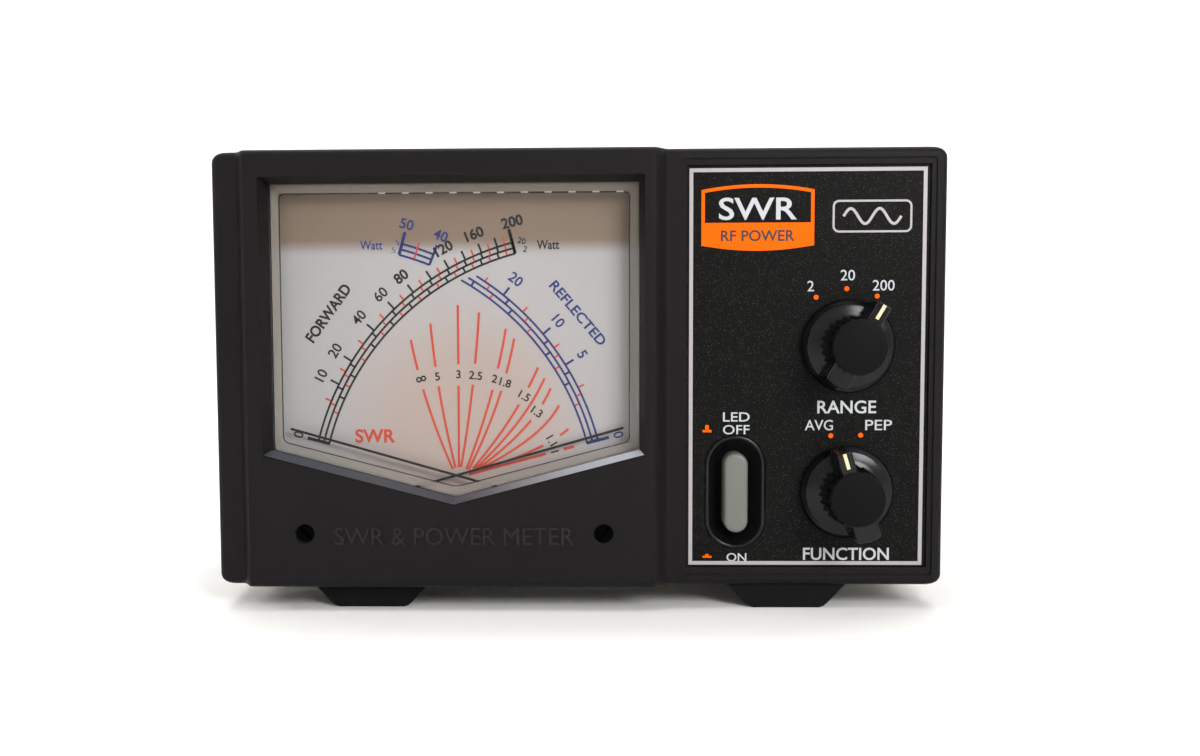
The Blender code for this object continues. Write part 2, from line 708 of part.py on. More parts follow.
def movement(name, side, needle_plane):
    """One moving-coil movement: yoke, magnet, bridge, coil, needle, hairspring and zero set."""
    at = pivot_place(side)
    axis = new_empty(f"{name}_pivot", at[0], NEEDLE_BASE, at[1], ROOT)
    core_back = CORE_FRONT + YOKE_LENGTH
    rest = side * (NEEDLE_REST - 90.0)
    web_turn = rest + side * NEEDLE_SWEEP / 2
    yoke = slab(f"{name}_yoke", circle(YOKE_RADIUS, 32), CORE_FRONT, core_back, SOFT_IRON, at=at)
    cut(yoke, cutter(f"{name}_yoke_bore", circle(YOKE_RADIUS - YOKE_WALL, 32), CORE_FRONT - 1.0,
                     core_back + 1.0, at=at))
    for i, start in enumerate((CORE_RADIUS + GAP, -YOKE_RADIUS + YOKE_WALL / 2)):
        end = start + YOKE_RADIUS - YOKE_WALL / 2 - CORE_RADIUS - GAP
        web = cutter(f"{name}_web_{i + 1}", rectangle(start, end, -WEB_WIDTH / 2, WEB_WIDTH / 2),
                     CORE_FRONT + 2.0, core_back - 2.0, at=at, turn=web_turn)
        join(yoke, web)
    pin(f"{name}_magnet", CORE_RADIUS, CORE_FRONT, core_back, MAGNET, at)
    front_bridge(name, at)
    coil(name, axis, at, core_back, rest)
    needle(name, axis, at, needle_plane, rest)
    hairspring(name, axis, at)
    zero_set(name, side, at)


def front_bridge(name, at):
    """The strip that carries the front bearing, with a leg back to the yoke's face."""
    bottom = at[1] - YOKE_RADIUS + GAP
    half = BRIDGE_WIDTH / 2
    back = BRIDGE_FRONT + BRIDGE_THICKNESS
    bridge = slab(f"{name}_bridge", rectangle(at[0] - half, at[0] + half, bottom, at[1] + half),
                  BRIDGE_FRONT, back, BRASS)
    leg = cutter(f"{name}_bridge_leg", rectangle(at[0] - half, at[0] + half, bottom,
                                                 bottom + YOKE_WALL - GAP),
                 back - BRIDGE_THICKNESS / 2, CORE_FRONT - GAP)
    join(bridge, leg)


def coil(name, axis, at, core_back, rest):
    """The coil frame: two bars along the gap, closed in front of and behind the magnet."""
    reach = CORE_RADIUS + COIL_GAP + COIL_BAR
    back = core_back + COIL_GAP + COIL_BAR
    half = COIL_WIDTH / 2
    frame = slab(f"{name}_coil", rectangle(-half, half, -reach, reach), COIL_FRONT, back, COPPER,
                 at=at, parent=axis, turn=rest)
    inside = reach - COIL_BAR
    cut(frame, cutter(f"{name}_coil_inside", rectangle(-half - 1.0, half + 1.0, -inside, inside),
                      COIL_FRONT + COIL_BAR, back - COIL_BAR, at=at, turn=rest))


def needle(name, axis, at, plane, rest):
    """A flat needle. It steps forward below the dial, so that it runs in front of the print."""
    half = NEEDLE_WIDTH / 2
    base_back = NEEDLE_BASE
    base_front = base_back - NEEDLE_THICKNESS
    front = plane
    side_view = [(-NEEDLE_TAIL, base_front), (-NEEDLE_TAIL, base_back), (NEEDLE_STEP_START, base_back),
                 (NEEDLE_STEP_END, front + NEEDLE_THICKNESS),
                 (NEEDLE_LENGTH, front + NEEDLE_THICKNESS), (NEEDLE_LENGTH, front),
                 (NEEDLE_STEP_END, front), (NEEDLE_STEP_START, base_front)]
    bm = bmesh.new()
    face = bm.faces.new([bm.verts.new((-half, along, base_back - depth))
                         for along, depth in side_view])
    made = bmesh.ops.extrude_face_region(bm, geom=[face])
    verts = [item for item in made["geom"] if isinstance(item, bmesh.types.BMVert)]
    bmesh.ops.translate(bm, vec=(NEEDLE_WIDTH, 0.0, 0.0), verts=verts)
    blade = finish_mesh(bm, f"{name}_needle", NEEDLE_BLACK, (at[0], base_back, at[1]), axis,
                        PARTS, turn=rest)
    join(blade, pin(f"{name}_hub", HUB_RADIUS, base_front, base_back - 0.02, CUTTER_FINISH, at,
                    parent=axis, collection=CUTTERS))
    weight = cutter(f"{name}_weight", rectangle(-1.1, 1.1, -NEEDLE_TAIL, -NEEDLE_TAIL + 2.2),
                    base_front - 0.3, base_back - 0.02, at=at, parent=axis, turn=rest)
    join(blade, weight)


def hairspring(name, axis, at):
    """A flat spiral between the bridge and the needle's hub."""
    depth = (BRIDGE_FRONT + BRIDGE_THICKNESS + NEEDLE_BASE - NEEDLE_THICKNESS) / 2
    per_turn = 14
    count = SPRING_TURNS * per_turn
    points = []
    for i in range(count + 1):
        turn = 2 * math.pi * i / per_turn
        radius = SPRING_START + (SPRING_END - SPRING_START) * i / count
        points.append((at[0] + radius * math.cos(turn), depth, at[1] + radius * math.sin(turn)))
    wire(f"{name}_hairspring", points, WIRE, BRONZE, axis)


def zero_set(name, side, at):
    """The slotted zero adjuster and the forked lever that its eccentric pin moves."""
    place_at = zero_place(side)
    across = Vector((place_at[0] - at[0], place_at[1] - at[1]))
    reach = across.length
    turn = math.degrees(math.atan2(across.x, across.y))
    screw_axis = new_empty(f"{name}_zero_axis", place_at[0], FLANGE_FRONT, place_at[1], ROOT)
    head_front = BLOCK_FRONT + ZERO_HEAD_SET_BACK
    shoulder = FLANGE_FRONT - GAP
    head = pin(f"{name}_zero_screw", ZERO_HEAD - GAP / 3, head_front, shoulder, BLACK_ABS,
               place_at, parent=screw_axis, turn=turn)
    neck = pin(f"{name}_zero_neck", ZERO_HEAD - GAP, shoulder - 0.5, FLANGE_BACK + GAP / 3,
               CUTTER_FINISH, place_at, collection=CUTTERS, steps=16)
    offset = across.normalized() * ZERO_PIN_OFFSET
    tip = pin(f"{name}_zero_pin", ZERO_PIN_RADIUS, FLANGE_BACK - 0.4, LEVER_FRONT + LEVER_THICKNESS,
              CUTTER_FINISH, (place_at[0] + offset.x, place_at[1] + offset.y),
              collection=CUTTERS, steps=12)
    join(head, neck)
    slot = cutter(f"{name}_zero_slot", rectangle(-3.0, 3.0, -0.4, 0.4), head_front - 1.0,
                  head_front + 1.0, at=place_at, turn=turn)
    cut(head, slot)
    join(head, tip)
    zero_lever(name, at, reach + ZERO_PIN_OFFSET, turn)


def zero_lever(name, at, reach, turn):
    """The lever turns about the needle's axis and holds the eccentric pin in its fork."""
    axis = new_empty(f"{name}_lever_axis", at[0], LEVER_FRONT, at[1], ROOT)
    back = LEVER_FRONT + LEVER_THICKNESS
    lever = slab(f"{name}_zero_lever", circle(LEVER_EYE, 20), LEVER_FRONT, back, BRASS, at=at,
                 parent=axis, turn=turn)
    half_width = LEVER_WIDTH / 2
    arm = cutter(f"{name}_lever_arm", rectangle(-half_width, half_width, 0.0, reach + 1.0),
                 LEVER_FRONT, back, at=at, turn=turn)
    half_slot = ZERO_PIN_RADIUS + GAP
    fork = cutter(f"{name}_lever_fork", rectangle(-half_slot, half_slot, reach - 1.8, reach + 3.0),
                  LEVER_FRONT - 1.0, back + 1.0, at=at, turn=turn)
    join(lever, arm)
    cut(lever, fork)


# ---------------------------------------------------------------- controls

def rotary_control(name, height, angle):
    """Knob with its cap and pointer line, the switch shaft, the switch and its nut."""
    at = (CONTROL_X, BODY_BOTTOM + height)
    axis = new_empty(f"{name}_axis", at[0], KNOB_BACK, at[1], ROOT)
    knob(name, axis, at, angle)
    shaft_front = KNOB_BACK - DRUM_HEIGHT + SHAFT_SET_BACK
    shaft_back = SWITCH_FRONT + SWITCH_DEPTH - 2.0
    pin(f"{name}_shaft", SHAFT_RADIUS, shaft_front, shaft_back, BRIGHT_STEEL, at, parent=axis)
    switch(name, at, shaft_back)


def knob(name, axis, at, angle):
    profile = [(0.0, DRUM_HEIGHT - CAP_HEIGHT), (DRUM_RADIUS - 1.2, DRUM_HEIGHT - CAP_HEIGHT),
               (DRUM_RADIUS - 1.2, SKIRT_SLOPE_TOP), (SKIRT_RADIUS, SKIRT_TOP), (SKIRT_RADIUS, 1.0),
               (FLANGE_RADIUS, 1.0), (FLANGE_RADIUS, 0.0), (0.0, 0.0)]
    body = turned(f"{name}_knob", profile, KNOB_BACK, GLOSSY_BLACK, at, parent=axis, steps=48,
                  turn=angle)
    drum = []
    for i in range(2 * FLUTES):
        radius = DRUM_RADIUS - (FLUTE_DEPTH if i % 2 else 0.0)
        turn = math.pi * (i + 0.5) / FLUTES
        drum.append((radius * math.cos(turn), radius * math.sin(turn)))
    join(body, cutter(f"{name}_drum", drum, KNOB_BACK - DRUM_HEIGHT, KNOB_BACK - GRIP_BACK, at=at,
                      turn=angle))
    front = KNOB_BACK - BAR_HEIGHT
    tip = POINTER_WIDTH / 2
    tail = TAIL_WIDTH / 2
    bar = cutter(f"{name}_bar", [(tip, POINTER_REACH), (-tip, POINTER_REACH), (-tip, 0.0),
                                 (-tail, 0.0), (-tail, -TAIL_REACH), (tail, -TAIL_REACH),
                                 (tail, 0.0), (tip, 0.0)],
                 front, KNOB_BACK - BAR_BACK, at=at, turn=angle)
    join(body, bar)
    groove_half = LINE_WIDTH / 2 + 0.05
    line_end = POINTER_REACH - 0.3
    line_start = line_end - LINE_LENGTH
    groove = cutter(f"{name}_groove", rectangle(-groove_half, groove_half, line_start - 0.05,
                                                line_end + 0.05),
                    front - 1.0, front + LINE_DEPTH, at=at, turn=angle)
    back = KNOB_BACK + 1.0
    nut_top = back - PANEL_FACE + NUT_THICKNESS + 2 * GAP
    bush_top = back - PANEL_FACE + BUSH_REACH + GAP
    bore_top = back - KNOB_BACK + DRUM_HEIGHT - SHAFT_SET_BACK + GAP
    fit = SHAFT_RADIUS + SHAFT_FIT
    rooms = turned(f"{name}_rooms", [(0.0, bore_top), (fit, bore_top), (fit, bush_top),
                                     (BUSH_RADIUS + GAP, bush_top), (BUSH_RADIUS + GAP, nut_top),
                                     (NUT_RADIUS + GAP, nut_top), (NUT_RADIUS + GAP, 0.0),
                                     (0.0, 0.0)],
                   back, CUTTER_FINISH, at, collection=CUTTERS)
    pocket = pin(f"{name}_cap_pocket", DRUM_RADIUS - 1.0, KNOB_BACK - DRUM_HEIGHT - 1.0,
                 KNOB_BACK - DRUM_HEIGHT + CAP_SEAT, CUTTER_FINISH, at, collection=CUTTERS, steps=32)
    cut(body, groove, rooms, pocket)
    cap_front = CAP_SEAT - GAP + CAP_HEIGHT
    cap_profile = [(0.0, cap_front), (DRUM_RADIUS - 0.5, cap_front), (DRUM_RADIUS - 0.2, CAP_SEAT),
                   (DRUM_RADIUS - 1.3, CAP_SEAT), (DRUM_RADIUS - 1.3, 0.0), (0.0, 0.0)]
    turned(f"{name}_knob_cap", cap_profile, KNOB_BACK - DRUM_HEIGHT + CAP_SEAT - GAP, MATT_CAP, at,
           parent=axis, steps=36, turn=angle)
    slab(f"{name}_knob_line", rectangle(-LINE_WIDTH / 2, LINE_WIDTH / 2, line_start, line_end),
         front, front + LINE_DEPTH - 0.05, CREAM, at=at, parent=axis, turn=angle)


def switch(name, at, shaft_back):
    """The rotary switch: a round body behind the panel, its bush and the nut on it."""
    body = pin(f"{name}_switch", SWITCH_RADIUS, SWITCH_FRONT, SWITCH_FRONT + SWITCH_DEPTH,
               DARK_PLASTIC, at)
    bush_front = PANEL_FACE - BUSH_REACH
    bush = pin(f"{name}_bush", BUSH_RADIUS, bush_front, SWITCH_FRONT + 1.0, CUTTER_FINISH, at,
               collection=CUTTERS)
    join(body, bush)
    bore = pin(f"{name}_switch_bore", SHAFT_RADIUS + SHAFT_FIT, bush_front - 1.0, shaft_back + GAP,
               CUTTER_FINISH, at, collection=CUTTERS)
    cut(body, bore)
    nut = slab(f"{name}_nut", circle(NUT_RADIUS, 6), PANEL_FACE - GAP - NUT_THICKNESS,
               PANEL_FACE - GAP, BRIGHT_STEEL, at=at)
    cut(nut, cutter(f"{name}_nut_bore", circle(BUSH_RADIUS + GAP / 3), PANEL_FACE - 4.0,
                    PANEL_FACE + 1.0, at=at))


def lamp_button():
    """The oval dish, the grey lamp button on its stem and the push switch behind it."""
    at = (BUTTON_X, BODY_BOTTOM + BUTTON_HEIGHT)
    half_width = OVAL_WIDTH / 2
    half_length = OVAL_LENGTH / 2
    lip = PANEL_FACE - OVAL_LIP
    oval = rounded_box(-half_width, half_width, -half_length, half_length, half_width, 6)
    back = SWITCH_FRONT + 1.0
    dish = slab("button_bezel", oval, lip, back, BLACK_ABS, at=at)
    rim = 0.8
    inner_half = BUTTON_WIDTH / 2 + 0.9
    inner_length = BUTTON_LENGTH / 2 + 0.9
    top = rounded_box(-half_width + rim, half_width - rim, -half_length + rim, half_length - rim,
                      half_width - rim, 6)
    bottom = rounded_box(-inner_half, inner_half, -inner_length, inner_length, inner_half, 6)
    cut(dish, tapered_cutter("dish_hollow", top, bottom, lip - 0.01, lip + DISH_DEPTH, at=at))
    half = BUTTON_WIDTH / 2
    length = BUTTON_LENGTH / 2
    room = rounded_box(-half - GAP, half + GAP, -length - GAP, length + GAP, half + GAP, 6)
    cut(dish, cutter("button_hole", room, lip - 1.0, back + 1.0, at=at))
    front = PANEL_FACE - BUTTON_PROUD
    axis = new_empty("led_button_axis", at[0], front, at[1], ROOT)
    button_back = back + 1.0
    button = slab("led_button", rounded_box(-half, half, -length, length, half, 6), front,
                  button_back, GREY_ABS, at=at, parent=axis)
    bevel(button, 0.5, segments=2)
    stem_back = button_back + 6.0
    stem = cutter("button_stem", rectangle(-BUTTON_STEM / 2, BUTTON_STEM / 2, -BUTTON_STEM / 2,
                                           BUTTON_STEM / 2), button_back - 1.0, stem_back, at=at)
    join(button, stem)
    switch_front = button_back + BUTTON_TRAVEL + 0.8
    body = block("led_switch", -LAMP_SWITCH_WIDTH / 2, LAMP_SWITCH_WIDTH / 2, switch_front,
                 switch_front + LAMP_SWITCH_DEPTH, -LAMP_SWITCH_HEIGHT / 2, LAMP_SWITCH_HEIGHT / 2,
                 DARK_PLASTIC, at=at)
    hole = BUTTON_STEM / 2 + GAP
    cut(body, cutter("stem_hole", rectangle(-hole, hole, -hole, hole), switch_front - 1.0,
                     stem_back + BUTTON_TRAVEL + GAP, at=at))


# ---------------------------------------------------------------- electronics and rear

def circuit_board():
    """The main board stands behind the controls, beside the meter housing."""
    front = SWITCH_FRONT + SWITCH_DEPTH + 9.0
    block("circuit_board", WINDOW_X + WINDOW_WIDTH / 2 + 8.0, HALF_WIDTH - 8.0, front,
          front + BOARD_THICKNESS, BODY_BOTTOM + 6.0, BODY_TOP - 6.0, BOARD_GREEN)


def socket_places():
    half = SOCKET_SPACING / 2
    return (("transmitter", SOCKET_X - half), ("antenna", SOCKET_X + half))


def coupler():
    """The shielded box that senses both waves on the line between the two sockets."""
    height = BODY_BOTTOM + SOCKET_HEIGHT
    back = REAR_FACE - SHEET - GAP
    front = back - COUPLER_DEPTH
    left = SOCKET_X - COUPLER_LENGTH / 2
    right = SOCKET_X + COUPLER_LENGTH / 2
    bottom = height - COUPLER_HEIGHT / 2
    top = height + COUPLER_HEIGHT / 2
    box = block("coupler_box", left, right, front, back, bottom, top, ZINC_STEEL)
    cut(box, cutter("coupler_inside", rectangle(left + SHEET, right - SHEET, bottom + SHEET,
                                                top - SHEET), front + SHEET, back + 1.0))
    line_depth = front + COUPLER_DEPTH / 2
    half = SOCKET_SPACING / 2 + CONTACT_RADIUS
    block("coupler_line", SOCKET_X - half, SOCKET_X + half, line_depth - COUPLER_LINE / 2,
          line_depth + COUPLER_LINE / 2, height - COUPLER_LINE_HEIGHT / 2,
          height + COUPLER_LINE_HEIGHT / 2, BRASS)


def coaxial_socket(name, x):
    """A threaded coaxial socket on a square flange, with its insulator and centre contact."""
    at = (x, BODY_BOTTOM + SOCKET_HEIGHT)
    face = REAR_FACE + GAP
    end = face + SOCKET_PLATE + SOCKET_BARREL
    half = SOCKET_FLANGE / 2
    shell = slab(f"{name}_socket", rounded_box(-half, half, -half, half, 2.0, 3), face,
                 face + SOCKET_PLATE, NICKEL, at=at)
    join(shell, pin(f"{name}_barrel", SOCKET_RADIUS, face + 0.5, end, CUTTER_FINISH, at,
                    collection=CUTTERS, steps=32))
    cut(shell, pin(f"{name}_barrel_bore", SOCKET_BORE, face - 1.0, end + 1.0, CUTTER_FINISH, at,
                   collection=CUTTERS, steps=32))
    inner_end = end - SOCKET_CAVITY
    insulator = pin(f"{name}_insulator", SOCKET_BORE - GAP / 3, REAR_FACE - 4.0, inner_end,
                    WHITE_PTFE, at, steps=32)
    cut(insulator, pin(f"{name}_insulator_bore", CONTACT_RADIUS + GAP / 3, REAR_FACE - 6.0,
                       end, CUTTER_FINISH, at, collection=CUTTERS))
    line_back = REAR_FACE - SHEET - GAP - COUPLER_DEPTH / 2 + COUPLER_LINE / 2
    contact_end = end - CONTACT_SET_BACK
    contact = pin(f"{name}_contact", CONTACT_RADIUS, line_back + GAP, contact_end, BRASS, at)
    cut(contact, pin(f"{name}_contact_bore", CONTACT_BORE, contact_end - CONTACT_HOLE, end,
                     CUTTER_FINISH, at, collection=CUTTERS))


def supply_jack():
    """The low-voltage jack for the dial lamps, through the rear panel."""
    at = (JACK_X, BODY_BOTTOM + JACK_HEIGHT)
    front = REAR_FACE - JACK_LENGTH
    jack = pin("dc_jack", JACK_RADIUS, front, REAR_FACE + JACK_PROUD, DARK_PLASTIC, at)
    cut(jack, pin("jack_bore", JACK_BORE, front + 4.0, REAR_FACE + JACK_PROUD + 1.0, CUTTER_FINISH,
                  at, collection=CUTTERS))
    join(jack, pin("jack_pin", JACK_PIN, front + 2.0, REAR_FACE + JACK_PROUD - 1.0, CUTTER_FINISH,
                   at, collection=CUTTERS, steps=12))


# ---------------------------------------------------------------- build

clear_scene()
PLACES = {}
PARTS = new_collection("swr_meter")
CUTTERS = new_collection("cutters")
CUTTERS.hide_render = True

BLACK_ABS = new_material("black ABS", (0.018, 0.017, 0.018), 0.45)
BLACK_STEEL = new_material("black painted steel", (0.02, 0.02, 0.02), 0.5, 0.2)
ZINC_STEEL = new_material("zinc plated steel", (0.62, 0.62, 0.6), 0.35, 1.0)
PRINTED_PLATE = new_material("black anodised plate", (0.01, 0.01, 0.01), 0.5)
CLEAR = new_material("clear acrylic", (0.9, 0.92, 0.92), 0.05, 0.0, 0.25)
DIAL_WHITE = new_material("printed dial", (0.62, 0.58, 0.56), 0.6)
WHITE_ABS = new_material("white ABS", (0.75, 0.75, 0.73), 0.5)
NEEDLE_BLACK = new_material("black painted aluminium", (0.01, 0.01, 0.01), 0.5)
SOFT_IRON = new_material("soft iron", (0.35, 0.35, 0.36), 0.4, 1.0)
MAGNET = new_material("cast magnet", (0.2, 0.2, 0.21), 0.5, 1.0)
BRASS = new_material("brass", (0.7, 0.52, 0.25), 0.3, 1.0)
BRONZE = new_material("phosphor bronze", (0.6, 0.35, 0.18), 0.3, 1.0)
COPPER = new_material("enamelled copper", (0.5, 0.2, 0.08), 0.35, 0.6)
GLOSSY_BLACK = new_material("glossy black knob", (0.02, 0.02, 0.022), 0.25)
MATT_CAP = new_material("matt knob cap", (0.015, 0.015, 0.016), 0.55)
CREAM = new_material("cream inlay", (0.8, 0.72, 0.58), 0.5)
BRIGHT_STEEL = new_material("nickel plated steel", (0.6, 0.6, 0.6), 0.25, 1.0)
DARK_PLASTIC = new_material("dark phenolic", (0.03, 0.025, 0.02), 0.5)
GREY_ABS = new_material("grey ABS", (0.3, 0.31, 0.28), 0.45)
BLACK_RUBBER = new_material("black rubber", (0.01, 0.01, 0.01), 0.8)
BOARD_GREEN = new_material("glass epoxy board", (0.03, 0.16, 0.06), 0.4)
NICKEL = new_material("nickel plated brass", (0.65, 0.63, 0.58), 0.25, 1.0)
WHITE_PTFE = new_material("white PTFE", (0.85, 0.85, 0.83), 0.4)
CUTTER_FINISH = new_material("construction", (0.5, 0.1, 0.1), 0.5)

ROOT = new_empty("swr_meter_origin", 0.0, ORIGIN_SHIFT, 0.0)
PLACES[ROOT] = Vector((0.0, 0.0, 0.0))

front_bezel()
control_panel()
top_cover()
chassis_base()
rear_panel()
cover_screws()
feet()
meter_window()
dial_plate()
meter_housing()
backlight_board()
movement("forward", 1, FORWARD_PLANE)
movement("reflected", -1, REFLECTED_PLANE)
rotary_control("range", RANGE_HEIGHT, RANGE_ANGLE)
rotary_control("function", FUNCTION_HEIGHT, FUNCTION_ANGLE)
lamp_button()
circuit_board()
coupler()
for socket_name, socket_x in socket_places():
    coaxial_socket(socket_name, socket_x)
supply_jack()
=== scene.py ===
"""Desktop cross-needle SWR and power meter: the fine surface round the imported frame.

Every mesh is drawn in millimetres, with x to the right, depth behind the plane of the front
rim and height above the underside of the case. A workbench turns it to metres and puts it
in the frame, so a finished piece stands at the origin with its place in its mesh.
"""

from __future__ import annotations

import json
import logging
import math
from dataclasses import dataclass, field
from enum import Enum

import bmesh
import bpy
from mathutils import Matrix, Vector

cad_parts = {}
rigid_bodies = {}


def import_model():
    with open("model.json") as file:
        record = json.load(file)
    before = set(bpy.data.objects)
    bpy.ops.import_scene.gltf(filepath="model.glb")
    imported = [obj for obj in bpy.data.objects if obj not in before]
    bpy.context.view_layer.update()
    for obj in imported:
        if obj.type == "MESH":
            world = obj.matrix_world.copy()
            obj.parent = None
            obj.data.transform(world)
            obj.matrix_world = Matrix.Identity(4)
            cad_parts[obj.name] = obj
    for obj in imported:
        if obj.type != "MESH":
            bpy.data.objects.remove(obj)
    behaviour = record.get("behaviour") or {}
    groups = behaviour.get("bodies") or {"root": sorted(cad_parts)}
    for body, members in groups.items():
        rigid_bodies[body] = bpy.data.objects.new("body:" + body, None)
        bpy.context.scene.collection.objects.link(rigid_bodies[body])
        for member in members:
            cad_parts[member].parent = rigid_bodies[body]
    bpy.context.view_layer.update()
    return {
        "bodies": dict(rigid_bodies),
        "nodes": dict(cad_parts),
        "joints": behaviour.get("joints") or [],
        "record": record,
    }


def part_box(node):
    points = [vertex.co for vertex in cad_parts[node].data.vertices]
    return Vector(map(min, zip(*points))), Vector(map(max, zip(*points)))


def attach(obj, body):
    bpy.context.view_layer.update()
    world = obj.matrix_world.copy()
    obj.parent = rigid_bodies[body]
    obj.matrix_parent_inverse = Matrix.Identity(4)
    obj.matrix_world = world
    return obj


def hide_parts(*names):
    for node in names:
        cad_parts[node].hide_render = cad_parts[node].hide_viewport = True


LOG = logging.getLogger("swr_meter")
MM = 0.001
SIDES = ("forward", "reflected")
SOCKETS = ("transmitter", "antenna")
CORNERS = ("front_left", "front_right", "rear_left", "rear_right")
FILM = 0.004  # the relief of an ink film or of fine marks, in millimetres
Flat = tuple[float, float]
Place = tuple[float, float, float]
Colour = tuple[float, float, float, float]
Outline = list[Flat]
Socket = bpy.types.NodeSocket


# ---------------------------------------------------------------- colour and node helpers

def linear(colour: str) -> Colour:
    """Turns an sRGB hex colour to linear light.

    Args:
        colour: Six hex digits after a hash sign.

    Returns:
        Red, green, blue and full opacity, as a shader takes them.
    """
    parts = [int(colour[i:i + 2], 16) / 255 for i in (1, 3, 5)]
    red, green, blue = (c / 12.92 if c <= 0.04045 else ((c + 0.055) / 1.055) ** 2.4
                        for c in parts)
    return (red, green, blue, 1.0)


def add_node(tree: bpy.types.NodeTree, kind: str, settings: dict | None = None,
             values: dict | None = None, links: dict | None = None) -> bpy.types.Node:
    """Adds a node with its settings, values and incoming links.

    Args:
        tree: The node tree that gets the node.
        kind: Blender's name for the kind of node.
        settings: Attribute names and what they are set to.
        values: Input names or numbers and their values.
        links: Input names or numbers and the sockets that feed them.

    Returns:
        The new node.
    """
    node = tree.nodes.new(kind)
    for name, value in (settings or {}).items():
        setattr(node, name, value)
    for key, value in (values or {}).items():
        node.inputs[key].default_value = value
    for key, source in (links or {}).items():
        tree.links.new(source, node.inputs[key])
    return node


def per_metre(size_mm: float) -> float:
    """Returns the texture scale that draws features of this size in millimetres."""
    return 1.0 / (size_mm * MM)


@dataclass
class Canvas:
    """The nodes of a material, while a finish adds its pattern to them."""

    tree: bpy.types.NodeTree
    shader: bpy.types.Node
    place: Socket

    def noise(self, size_mm: float, detail: float, roughness: float = 0.5,
              place: Socket | None = None) -> Socket:
        """Adds a noise.

        Args:
            size_mm: The size of its features.
            detail: How many finer layers it has.
            roughness: How strong the finer layers are.
            place: The coordinates, or None for the mesh's own.

        Returns:
            A value from 0 to 1.
        """
        values = {"Scale": per_metre(size_mm), "Detail": detail, "Roughness": roughness}
        return add_node(self.tree, "ShaderNodeTexNoise", {}, values,
                        {"Vector": place or self.place}).outputs["Fac"]

    def scaled(self, source: Socket, factor: float) -> Socket:
        """Returns a value times a factor."""
        return add_node(self.tree, "ShaderNodeMath", {"operation": "MULTIPLY"}, {1: factor},
                        {0: source}).outputs[0]

    def split(self) -> bpy.types.bpy_prop_collection:
        """Returns the outputs X, Y and Z of the place."""
        return add_node(self.tree, "ShaderNodeSeparateXYZ", links={"Vector": self.place}).outputs

    def eased(self, source: Socket, low: float, high: float) -> Socket:
        """Returns a soft step from 0 at the low value to 1 at the high one."""
        return add_node(self.tree, "ShaderNodeMapRange", {"interpolation_type": "SMOOTHSTEP"},
                        {"From Min": low, "From Max": high}, {"Value": source}).outputs["Result"]

    def mixed(self, first: str | Socket, second: str, share: Socket) -> Socket:
        """Blends two colours.

        Args:
            first: The colour at a share of 0, in hex or from another node.
            second: The colour at a share of 1, in hex.
            share: The factor.

        Returns:
            The blended colour.
        """
        given = isinstance(first, str)
        return add_node(self.tree, "ShaderNodeMix", {"data_type": "RGBA"},
                        {7: linear(second), **({6: linear(first)} if given else {})},
                        {0: share, **({} if given else {6: first})}).outputs[2]

    def paint(self, first: str | Socket, second: str, share: Socket) -> None:
        """Feeds the base colour with a blend of two colours."""
        self.tree.links.new(self.mixed(first, second, share), self.shader.inputs["Base Color"])

    def relief(self, source: Socket, height_mm: float, strength: float) -> None:
        """Adds a bump of a real height to the shader.

        Args:
            source: The height, from 0 to 1.
            height_mm: What a height of 1 measures.
            strength: How much of the bump is kept.
        """
        bump = add_node(self.tree, "ShaderNodeBump", {},
                        {"Strength": strength, "Distance": height_mm * MM}, {"Height": source})
        self.tree.links.new(bump.outputs["Normal"], self.shader.inputs["Normal"])

    def gloss(self, source: Socket, middle: float, below: float, above: float) -> None:
        """Lets the roughness vary with a pattern.

        Args:
            source: The pattern, from 0 to 1.
            middle: The finish's own roughness.
            below: How far under it the roughness is where the pattern is 0.
            above: How far over it the roughness is where the pattern is 1.
        """
        span = add_node(self.tree, "ShaderNodeMapRange", {},
                        {"To Min": middle - below, "To Max": middle + above}, {"Value": source})
        self.tree.links.new(span.outputs["Result"], self.shader.inputs["Roughness"])


# ---------------------------------------------------------------- finishes

@dataclass(frozen=True)
class Finish:
    """A surface and how it was made. Subclasses add the pattern that the making leaves."""

    name: str
    colour: str
    roughness: float
    metallic: float = 0.0
    ior: float = 1.5
    alpha: float = 1.0

    def material(self) -> bpy.types.Material:
        """Builds the node material.

        Returns:
            A material with this finish.
        """
        material = bpy.data.materials.new(self.name)
        material.use_nodes = True
        tree = material.node_tree
        shader = tree.nodes["Principled BSDF"]
        values = {"Base Color": linear(self.colour), "Roughness": self.roughness,
                  "Metallic": self.metallic, "Alpha": self.alpha}
        if self.metallic < 0.5:
            values["IOR"] = self.ior
        for name, value in values.items():
            shader.inputs[name].default_value = value
        self.pattern(Canvas(tree, shader, add_node(tree, "ShaderNodeTexCoord").outputs["Object"]))
        return material

    def pattern(self, canvas: Canvas) -> None:
        """Adds nothing on a plain finish."""


@dataclass(frozen=True)
class Moulded(Finish):
    """Injection-moulded plastic from a spark-eroded tool: an even satin grain, softly mottled.

    The real grain is about 0.1 mm across, too fine to show, so it is drawn coarser.
    """

    grain_mm: float = 0.35
    depth_mm: float = 0.02
    strength: float = 0.35
    dust: str = "#35323a"
    dusty: float = 0.35

    def pattern(self, canvas: Canvas) -> None:
        """Adds grain to the relief, the gloss and, in large soft patches, the colour.

        Args:
            canvas: The material's nodes.
        """
        grain = canvas.noise(self.grain_mm, 3.0, 0.6)
        patches = canvas.noise(24.0, 4.0)
        canvas.paint(self.colour, self.dust, canvas.scaled(patches, self.dusty))
        canvas.relief(grain, self.depth_mm, self.strength)
        canvas.gloss(grain, self.roughness, 0.08, 0.1)


